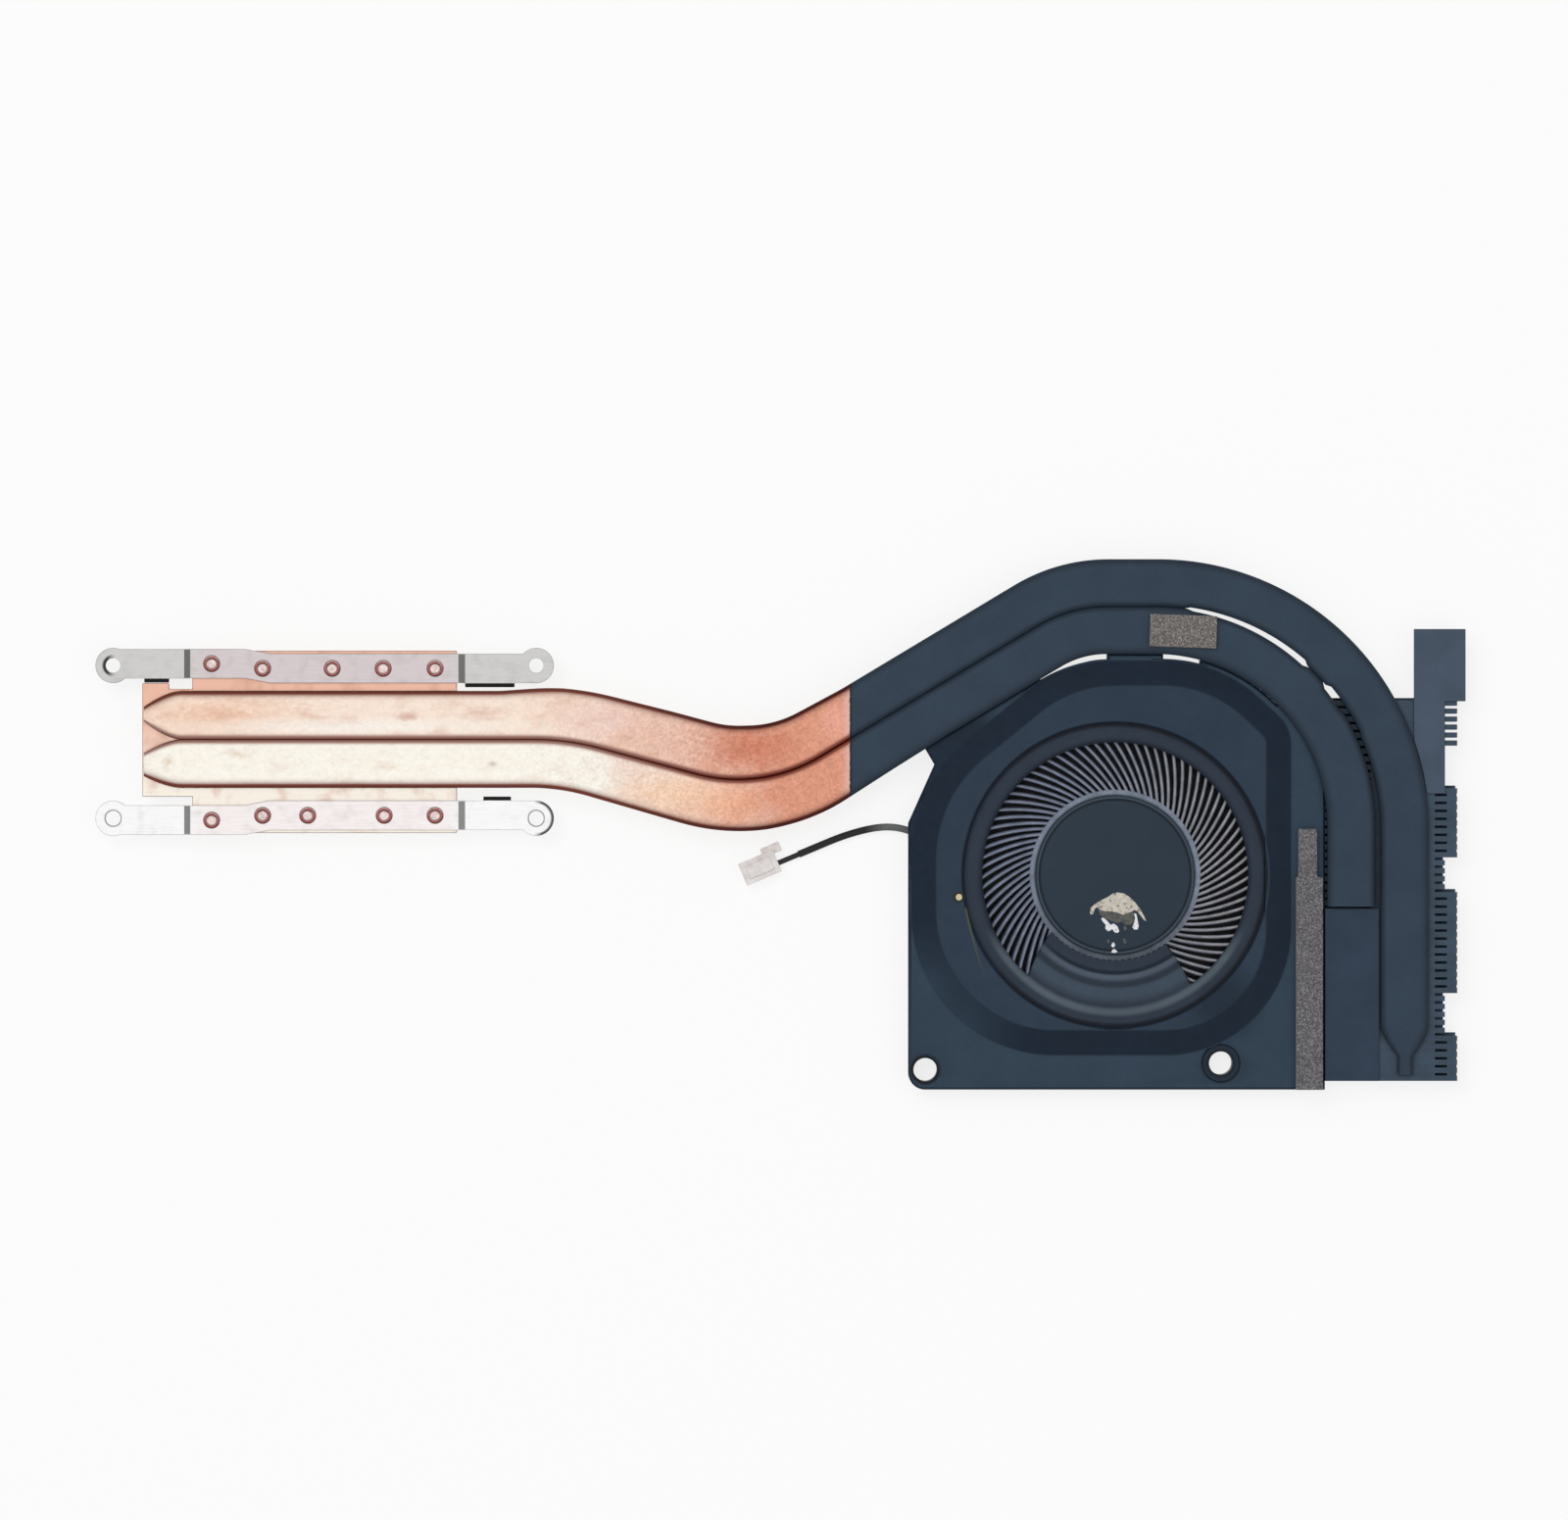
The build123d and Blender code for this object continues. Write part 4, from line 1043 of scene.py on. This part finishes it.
def shifted_corners(points, shifts):
    """The corners of a route whose runs lie to the left of another's, each by its own shift."""
    runs = []
    for (x0, y0), (x1, y1), shift in zip(points, points[1:], shifts):
        length = hypot(x1 - x0, y1 - y0)
        normal = (-(y1 - y0) / length, (x1 - x0) / length)
        runs.append((*normal, normal[0] * x0 + normal[1] * y0 + shift))
    corners = []
    for (a, b, c), (d, e, f) in zip(runs, runs[1:]):
        determinant = a * e - b * d
        corners.append(((c * e - b * f) / determinant, (a * f - c * d) / determinant))
    return corners


def pipe_routes():
    """Corners of the inner and the outer pipe's routes, between their swaged ends."""
    low, high = box("heat_pipe_inner")
    half = PIPE_WIDTH / 2
    start_x = low.x + PIPE_START_TAPER
    row = PIPE_PAIR_Y - (PIPE_WIDTH + PIPE_GAPS[0]) / 2
    dip_y = row - (DIP_END - DIP_START) * tan(DIP_ANGLE)
    top = high.y - half
    climb_end = DIP_END + (top - dip_y) / tan(CLIMB_ANGLE)
    drop_x = high.x - half
    inner = [
        (start_x, row), (DIP_START, row), (DIP_END, dip_y), (climb_end, top), (drop_x, top),
        (drop_x, low.y),
    ]
    corners = shifted_corners(inner, [PIPE_WIDTH + gap for gap in PIPE_GAPS])
    end_y = box("heat_pipe_outer")[0].y + PIPE_END_TAPER
    outer = [(start_x, corners[0][1]), *corners, (corners[-1][0], end_y)]
    return inner, outer


def outer_bends():
    """Bend radii that keep the outer pipe beside the inner one; the dip turns the other way."""
    pitches = [PIPE_WIDTH + (gap + later) / 2 for gap, later in zip(PIPE_GAPS, PIPE_GAPS[1:])]
    return [bend + side * pitch for bend, side, pitch in zip(INNER_BENDS, BEND_SIDES, pitches)]


def start_taper(share, full, tip):
    """Half the width of a pipe's swaged start, from the full tube to the tip."""
    return full + (tip - full) * share**TAPER_POWER


def end_taper(share, full, tip):
    """Half the width of the swaged end: a cone, then a thin stub."""
    return full + (tip - full) * min(1.0, share / END_CONE_SHARE)**END_CONE_POWER


def taper_stations(station, heading, length, tip, law):
    """Stations of a swaged end beyond one of the pipe: centre, left and right half widths, thickness."""
    centre, left, right, depth = station
    stations = []
    for index in range(1, TAPER_STEPS + 1):
        share = sin(pi / 2 * index / TAPER_STEPS)
        thickness = depth + (PIPE_TIP_THICKNESS - depth) * share**2
        place = centre + Vector(heading) * share * length
        stations.append((place, law(share, left, tip), law(share, right, tip), thickness))
    return stations


def swelling(x, table):
    """How much wider a pipe is where it was bent, from a table of (x, width)."""
    for (start, first), (end, second) in zip(table, table[1:]):
        if start <= x < end:
            return first + (second - first) * (x - start) / (end - start)
    return 0.0


def pipe_stations(points, neighbour, facing, swell, thickness):
    """Centre, left and right half widths and thickness along a pipe that is pressed to its neighbour."""
    stations = []
    for point in points:
        gap = distance_to(point, neighbour) - PIPE_WIDTH
        limit = PIPE_SPREAD_LIMIT if point.x < PARTING_X else PARTING_LIMIT
        touching = gap / 2 < limit or (point - Vector(PIPE_BRIDGE)).length < BRIDGE_REACH
        pressed = gap / 2 - PIPE_CREASE if touching else 0.0
        dropping = point.x > PARTING_X and point.y < DROP_Y
        side = PIPE_WIDTH / 2 + (DROP_SPREAD if dropping else max(0.0, pressed))
        free = PIPE_WIDTH / 2 + PIPE_SPREAD + swelling(point.x, swell)
        left, right = (side, free) if facing == "left" else (free, side)
        stations.append((point, left, right, thickness))
    return stations


def heat_pipe(node, points, neighbour, facing, swell, start_tip, end_tip, surface):
    """A flattened pipe along its route, pressed against its neighbour, with its swaged ends."""
    low, high = box(node)
    middle = (low.z + high.z) / 2
    stations = pipe_stations(points, neighbour, facing, swell, high.z - low.z)
    start = taper_stations(stations[0], (-1, 0), PIPE_START_TAPER, start_tip, start_taper)
    end = taper_stations(stations[-1], (0, -1), PIPE_END_TAPER, end_tip, end_taper) if end_tip else []
    stations = start[::-1] + stations + end
    edges = (PRESSED_EDGE, FREE_EDGE) if facing == "left" else (FREE_EDGE, PRESSED_EDGE)
    turns = headings([station[0] for station in stations])
    vertices = []
    for (centre, left, right, thickness), heading in zip(stations, turns):
        across = Vector((heading.y, -heading.x))
        outline = flat_outline(left, right, edges, thickness)
        for offset, up in outline:
            spot = centre + across * offset
            wave = noise.noise((spot.x / WAVE_LENGTH, spot.y / WAVE_WIDTH, 0.0)) * PIPE_WAVES
            sink = min(0.0, wave) if up > 0 else 0.0
            vertices.append((spot.x, spot.y, middle + up + sink))
    mesh = mesh_of(node + "_formed", vertices, ring_faces(len(stations), len(outline)))
    piece(node + "_formed", mesh, [surface], replaces=[node])


def heat_pipes():
    """The two pipes, each beside the other."""
    inner_corners, outer_corners = pipe_routes()
    inner_finish = pipe_finish("inner_pipe_finish", (255, 249, 238), 42.0, 78.0, 1, 0.14, INNER_STAINS)
    outer_finish = pipe_finish("outer_pipe_finish", (252, 232, 216), 30.0, 80.0, -1, 0.36, OUTER_STAINS)
    inner = rounded_path(inner_corners, INNER_BENDS)
    outer = rounded_path(outer_corners, outer_bends())
    heat_pipe("heat_pipe_inner", inner, outer, "left", INNER_SWELL, INNER_START_TIP, None, inner_finish)
    heat_pipe(
        "heat_pipe_outer", outer, inner, "right", OUTER_SWELL, OUTER_START_TIP, OUTER_END_TIP, outer_finish,
    )


def filled(loops, level):
    """A level sheet of triangles between closed loops of (x, y) points."""
    sheet = bmesh.new()
    for loop in loops:
        corners = [sheet.verts.new((x * MM, y * MM, level * MM)) for x, y in loop]
        for here, after in zip(corners, corners[1:] + corners[:1]):
            sheet.edges.new((here, after))
    bmesh.ops.triangle_fill(sheet, use_beauty=True, edges=sheet.edges[:], normal=(0, 0, 1))
    sheet.verts.index_update()
    vertices = [tuple(vertex.co / MM) for vertex in sheet.verts]
    faces = [tuple(vertex.index for vertex in face.verts) for face in sheet.faces]
    sheet.free()
    return vertices, faces


def thickened(name, parts, thickness, floor):
    """A closed mesh: a sheet, its copy below it but not under a floor, walls round the open edges."""
    vertices, faces = joined(parts)
    sheet = bmesh.new()
    corners = [sheet.verts.new(vertex) for vertex in vertices]
    for face in faces:
        sheet.faces.new([corners[index] for index in face])
    bmesh.ops.remove_doubles(sheet, verts=sheet.verts, dist=WELD)
    sheet.verts.index_update()
    top = [vertex.co.copy() for vertex in sheet.verts]
    count = len(top)
    low = [(x, y, max(z - thickness, floor)) for x, y, z in top]
    upper = [tuple(vertex.index for vertex in face.verts) for face in sheet.faces]
    lower = [tuple(index + count for index in face) for face in upper]
    rims = [tuple(vertex.index for vertex in edge.verts) for edge in sheet.edges if edge.is_boundary]
    walls = [(first, second, second + count, first + count) for first, second in rims]
    sheet.free()
    return mesh_of(name, top + low, upper + lower + walls)


def rows_of(loops, levels):
    """A sheet between nested loops of as many points each, every one at its own level."""
    vertices = [(x, y, level) for loop, level in zip(loops, levels) for x, y in loop]
    return vertices, ring_faces(len(loops), len(loops[0]), capped=False)


def housing_outline():
    """The blower's outline, read from the underside of its base."""
    shape = from_solid("fan_base")
    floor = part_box("fan_base")[0].z
    under = set()
    for face in shape.faces:
        if face.normal.z < -0.99 and abs(face.calc_center_median().z - floor) < 0.01 * MM:
            under.add(face)
    following = {}
    for edge in shape.edges:
        if sum(face in under for face in edge.link_faces) == 1:
            first, second = edge.verts
            following.setdefault(first, []).append(second)
            following.setdefault(second, []).append(first)
    corner = min(following, key=lambda vertex: vertex.co.x)
    loop = [corner, following[corner][0]]
    while loop[-1] != corner:
        ahead = [vertex for vertex in following[loop[-1]] if vertex != loop[-2]]
        loop.append(ahead[0])
    points = [(vertex.co.x / MM, vertex.co.y / MM) for vertex in loop[:-1]]
    shape.free()
    return points


def inset_loop(loop, inset):
    """A closed loop of points moved to its inner side."""
    points = [Vector(point) for point in loop]
    area = sum(here.cross(after) for here, after in zip(points, points[1:] + points[:1]))
    side = inset if area > 0 else -inset
    moved = []
    for before, here, after in zip(points[-1:] + points, points, points[1:] + points[:1]):
        arrive = (here - before).normalized()
        leave = (after - here).normalized()
        inward = Vector((-arrive.y - leave.y, arrive.x + leave.x)).normalized()
        lean = max(LEAN_LIMIT, inward.dot(Vector((-arrive.y, arrive.x))))
        moved.append(tuple(here + inward * side / lean))
    return moved


def emboss_loops():
    """The loops inside the plateau's foot, from its flange up to its level part."""
    corners = [Vector(corner) for corner in EMBOSS_CORNERS]
    middle = (corners[0] + corners[1]) / 2
    ring = [middle, *corners[1:], corners[0], middle]
    foot = rounded_path(ring, EMBOSS_BENDS[1:] + EMBOSS_BENDS[:1])[:-1]
    run = SLOPE_END - SLOPE_START
    insets = [SLOPE_START + run * row / SLOPE_ROWS for row in range(SLOPE_ROWS + 1)]
    insets = [SLOPE_START - SLOPE_GUARD, *insets, SLOPE_END + SLOPE_GUARD]
    return [inset_loop(foot, inset) for inset in insets]


def opening_reach(turn):
    """Distance from the axis to the inlet's edge: a circle with a tongue on its lower side."""
    inside = min(turn - TONGUE_START, TONGUE_END - turn) / TONGUE_TURN
    share = min(1.0, max(0.0, (inside + 1) / 2))
    return INLET_RADIUS + (TONGUE_EDGE - INLET_RADIUS) * share**2 * (3 - 2 * share)


def tongue_flare(turn, reach):
    """Angle by which the tongue widens from its root to its edge."""
    across = min(1.0, max(0.0, (turn - TONGUE_START) / (TONGUE_END - TONGUE_START)))
    left, right = TONGUE_FLARE
    depth = max(0.0, INLET_RADIUS - reach) / (INLET_RADIUS - TONGUE_EDGE)
    return (left + (right - left) * across) * depth


def inlet_lip(top):
    """The coined step round the inlet and the rolled lip inside it, as a sheet."""
    loops = [circle(AXIS, RING_RADIUS + reach, INLET_SIDES) for reach, _ in INLET_STEP]
    inner = RING_RADIUS + INLET_STEP[-1][0]
    for share, _ in INLET_LIP:
        loop = []
        for index in range(INLET_SIDES):
            turn = 2 * pi * index / INLET_SIDES
            reach = inner + (opening_reach(turn) - inner) * share
            turn += tongue_flare(turn, reach)
            loop.append((AXIS[0] + reach * cos(turn), AXIS[1] + reach * sin(turn)))
        loops.append(loop)
    return rows_of(loops, [top + drop for _, drop in INLET_STEP + INLET_LIP])


def fan_cover():
    """The pressed cover: a soft slope up to its plateau, the stepped inlet lip, the screw holes."""
    low, high = box("fan_cover")
    flange = low.z + COVER_THICKNESS
    rise = high.z - flange
    slope = emboss_loops()
    shares = [row / SLOPE_ROWS for row in range(SLOPE_ROWS + 1)]
    levels = [flange + rise * (share - SLOPE_EASE * sin(2 * pi * share) / (2 * pi)) for share in shares]
    holes = []
    sheets = []
    for place, profile in ((RIGHT_SCREW, SCREW_SEAT), (LEFT_SCREW, SCREW_RIM)):
        loops = [circle(place, radius, SCREW_SIDES) for radius, _ in profile]
        sheets.append(rows_of(loops, [flange + drop for _, drop in profile]))
        holes.append(loops[0])
    outline = housing_outline()
    edge = [outline] + [inset_loop(outline, inset) for inset, _ in COVER_ROLL[1:]]
    sheets.append(rows_of(edge, [flange + drop for _, drop in COVER_ROLL]))
    sheets.append(filled([edge[-1], slope[0], *holes], flange))
    sheets.append(rows_of(slope, [flange, *levels, high.z]))
    sheets.append(filled([slope[-1], circle(AXIS, RING_RADIUS + INLET_STEP[0][0], INLET_SIDES)], high.z))
    sheets.append(inlet_lip(high.z))
    mesh = thickened("fan_cover_formed", sheets, COVER_THICKNESS, low.z)
    piece("fan_cover_formed", mesh, [cover_paint()], replaces=["fan_cover"])


def cover_stake():
    """The small brass stake left of the inlet."""
    seat = box("fan_cover")[1].z
    places = [STAKE_PLACE]
    mesh = heads("cover_stake", STAKE_OUTLINE, STAKE_RADIUS, STAKE_HEIGHT, seat, STAKE_SIDES, places)
    piece("cover_stake", mesh, [metal("stake_brass", (222, 210, 172), 0.3, 0.2)])


def blade(turn, tip):
    """Vertices and faces of one curved, leaning blade that leaves the hub at an angle."""
    half_arc = BLADE_THICKNESS / 2 / cos(BLADE_SWEEP)
    root = HUB_RADIUS - BLADE_ROOT
    edge = HUB_SHOULDER - BLADE_ROUND
    section = [
        (-1.0, BLADE_BOTTOM), (-1.0, edge), (-0.5, HUB_SHOULDER), (0.5, HUB_SHOULDER), (1.0, edge),
        (1.0, BLADE_BOTTOM),
    ]
    vertices = []
    for station in range(BLADE_STATIONS):
        radius = root + (tip - root) * station / (BLADE_STATIONS - 1)
        sweep = turn + tan(BLADE_SWEEP) * log(radius / HUB_RADIUS)
        for side, height in section:
            lean = BLADE_LEAN * (height - HUB_SHOULDER) / (HUB_SHOULDER - BLADE_BOTTOM)
            angle = sweep + (side * half_arc + lean) / radius
            vertices.append((AXIS[0] + radius * cos(angle), AXIS[1] + radius * sin(angle), height))
    return vertices, ring_faces(BLADE_STATIONS, len(section))


def impeller():
    """Hub and curved, leaning blades, one moulding."""
    low, high = box("impeller")
    tip = (high.x - low.x) / 2
    cap_under = high.z - HUB_CAP_THICKNESS
    outline = [(radius, high.z - drop) for radius, drop in HUB_CAP]
    outline += [(radius, HUB_SHOULDER - drop) for radius, drop in HUB_RING]
    outline += [(HUB_RADIUS, BLADE_BOTTOM), (HUB_BORE, BLADE_BOTTOM)]
    outline += [(HUB_BORE, cap_under), (0.0, cap_under)]
    hub = turned(outline, TURNED_SIDES, AXIS)
    blades = [blade(2 * pi * index / BLADE_COUNT, tip) for index in range(BLADE_COUNT)]
    mesh = mesh_of("impeller_moulding", *joined([hub, *blades]))
    rim = HUB_CAP_RADIUS + 0.05
    for polygon in mesh.polygons:
        x, y, _ = polygon.center / MM
        polygon.material_index = 1 if hypot(x - AXIS[0], y - AXIS[1]) > rim else 0
    surfaces = [hub_finish(), blade_finish()]
    piece("impeller_moulding", mesh, surfaces, "rotor", ["impeller"])


def foil_patch():
    """What is left of a worn foil patch on the hub: a pale dome, a grey film, bright drips and crumbs."""
    top = box("impeller")[1].z
    kinds = [
        ("hub_film", FOIL_FILM, foil_finish("film", (86, 86, 82), (58, 62, 64), 0.04, 0.2)),
        ("hub_foil", FOIL_DOME, foil_finish("foil", (204, 197, 185), (96, 84, 74), 0.05, 0.5)),
        ("hub_drips", FOIL_DRIPS, foil_finish("drips", (232, 232, 236), (150, 150, 154), 0.0, 0.4)),
    ]
    for name, outlines, finish in kinds:
        sheets = [filled([outline], top + FOIL_LIFT) for outline in outlines]
        mesh = thickened(name, sheets, 2 * FOIL_LIFT, top - FOIL_LIFT)
        piece(name, mesh, [finish], "rotor")


def foam_outline(half, height):
    """Points round a foam bar, as shares of its half width and of its height."""
    columns = ceil(2 * half / FOAM_CELL)
    levels = ceil(height / FOAM_CELL)
    outline = [(-1.0, index / levels) for index in range(levels)]
    outline += [(2 * index / columns - 1, 1.0) for index in range(columns)]
    outline += [(1.0, 1 - index / levels) for index in range(levels)]
    return outline + [(1 - 2 * index / columns, 0.0) for index in range(columns)]


def foam_bar(name, node, start, end, widths, finish):
    """A bar of open-cell foam from one point to another: eased edges and a pitted skin."""
    low, high = box(node)
    start = Vector(start)
    run = Vector(end) - start
    heading = run.normalized()
    across = Vector((-heading.y, heading.x))
    rows = ceil(run.length / FOAM_CELL)
    height = high.z - low.z
    outline = foam_outline(widths[0][0], height)
    vertices = []
    for row in range(rows + 1):
        reach = run.length * row / rows
        end_gap = min(reach, run.length - reach)
        half, shift = widths[-1] if run.length - reach < STRIP_NECK else widths[0]
        for side, level in outline:
            edge_gap = min(end_gap, half * (1 - abs(side)))
            eased = max(0.0, 1 - edge_gap / FOAM_EDGE)**2 * FOAM_EASE * level**3
            line = start + heading * reach + across * shift
            spot = line + across * side * half
            point = Vector((*spot, low.z + height * level - eased))
            pits = sum(noise.noise(point / size) * share for size, share in FOAM_PITS)
            inward = FOAM_ROUGHNESS * (FOAM_SKIN[0] + FOAM_SKIN[1] * pits) * min(1.0, level * 2)
            vertices.append(point + (Vector((*line, low.z)) - point).normalized() * max(0.0, inward))
    mesh = mesh_of(name, vertices, ring_faces(rows + 1, len(outline)))
    made = piece(name, mesh, [finish], replaces=[node])


def foam_gaskets():
    """The pad on the inner pipe and the strip along the outlet."""
    reach = Vector((cos(PAD_TURN), sin(PAD_TURN))) * PAD_LENGTH / 2
    middle = Vector(PAD_PLACE)
    finish = foam_finish("pad_foam", (143, 138, 135))
    foam_bar("pipe_foam", "pipe_foam_pad", middle - reach, middle + reach, [(PAD_HALF_WIDTH, 0.0)], finish)
    low, high = box("outlet_foam_strip")
    centre = (low.x + high.x) / 2
    half = (high.x - low.x) / 2
    neck = half - (STRIP_NECK_LEFT + STRIP_NECK_RIGHT) / 2
    widths = [(half, 0.0), (neck, (STRIP_NECK_RIGHT - STRIP_NECK_LEFT) / 2)]
    finish = foam_finish("strip_foam", (128, 126, 129))
    foam_bar("outlet_foam", "outlet_foam_strip", (centre, low.y), (centre, high.y), widths, finish)


def dress(node, surface):
    """Gives a CAD node its material."""
    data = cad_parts[node].data
    data.materials.clear()
    data.materials.append(surface)


def fin_length(index):
    """How far a fin reaches: the fins at the notches are shorter."""
    reach = (index + 0.5) * FIN_PITCH
    notched = any(start < reach < end for start, end in FIN_NOTCHES)
    return FIN_SHORT_LENGTH if notched else FIN_LENGTH


def fin_folds(surface):
    """Folds that close the slits between the fins, but for a short slot beside the outer pipe."""
    low, high = box("fin_stack")
    top = high.z - FOLD_DEPTH
    parts = []
    for index in range(1, FIN_COUNT):
        far = high.y - index * FIN_PITCH
        end = low.x + min(fin_length(index - 1), fin_length(index)) - 2 * FOLD_LAP
        spans = [(FOLD_START, SLOT_START)]
        if far < COMB_Y and end > SLOT_END:
            spans.append((SLOT_END, end))
        back = far + FOLD_LAP
        front = far - FIN_GAP - FOLD_LAP
        for left, right in spans:
            corners = [(left, front), (right, front), (right, back), (left, back)]
            vertices = [(x, y, z) for z in (top - FOLD_SHEET, top) for x, y in corners]
            parts.append((vertices, ring_faces(2, 4)))
    piece("fin_folds", mesh_of("fin_folds", *joined(parts)), [surface])


def sheet_metal():
    """Painted sheet pieces and the fins."""
    tab = paint("tab_paint", (70, 83, 100), (24, 31, 40))
    filler = paint("filler_paint", (44, 58, 75), (20, 27, 36))
    for node, surface in (("fin_tab_plate", tab), ("fin_cover_plate", filler)):
        eased_node(node, HARD_FOLD, SHEET_EASE, surface)
    fins = fin_metal()
    dress("fin_stack", fins)
    fin_folds(fins)


def motor_parts():
    """Finishes of the pieces inside the motor and the plug."""
    steel = metal("motor_steel", (168, 168, 172), 0.4)
    for node in ("rotor_yoke", "shaft", "stator_core"):
        dress(node, steel)
    dress("rotor_magnet", moulded("magnet", (48, 46, 46)))
    dress("bearing_tube", metal("tube_brass", (206, 176, 108)))
    dress("bearing_sleeve", metal("sleeve_bronze", (176, 138, 92), 0.5, 0.2))
    dress("thrust_pad", moulded("thrust_plastic", (36, 36, 38)))
    dress("stator_coils", metal("coil_copper", (196, 110, 66), 0.3, 0.2, 0.15))
    dress("motor_board", moulded("board_green", (24, 62, 44), 0.15))
    dress("lead_solder_block", metal("solder", (190, 190, 194), 0.3, 0.15))
    dress("connector_contacts", metal("contact_tin", (206, 206, 210), 0.3))


studio()
fan_lead()
eased_node("cold_plate", SOFT_FOLD, PLATE_EASE, plate_copper())
# Painted light: the lower bracket takes lighter colours than the upper, standing in for its brighter
# reflection
spring_bracket("upper_spring_bracket", (219, 208, 209), (212, 211, 209), UPPER_EYE_SHADE)
spring_bracket("lower_spring_bracket", (251, 244, 243), (254, 254, 254), LOWER_EYE_SHADE)
bracket_rivets()
heat_pipes()
sheet_metal()
fan_cover()
eased_node("fan_base", HARD_FOLD, EDGE_EASE, moulded("base_plastic", (26, 30, 36)))
cover_stake()
impeller()
foil_patch()
foam_gaskets()
motor_parts()
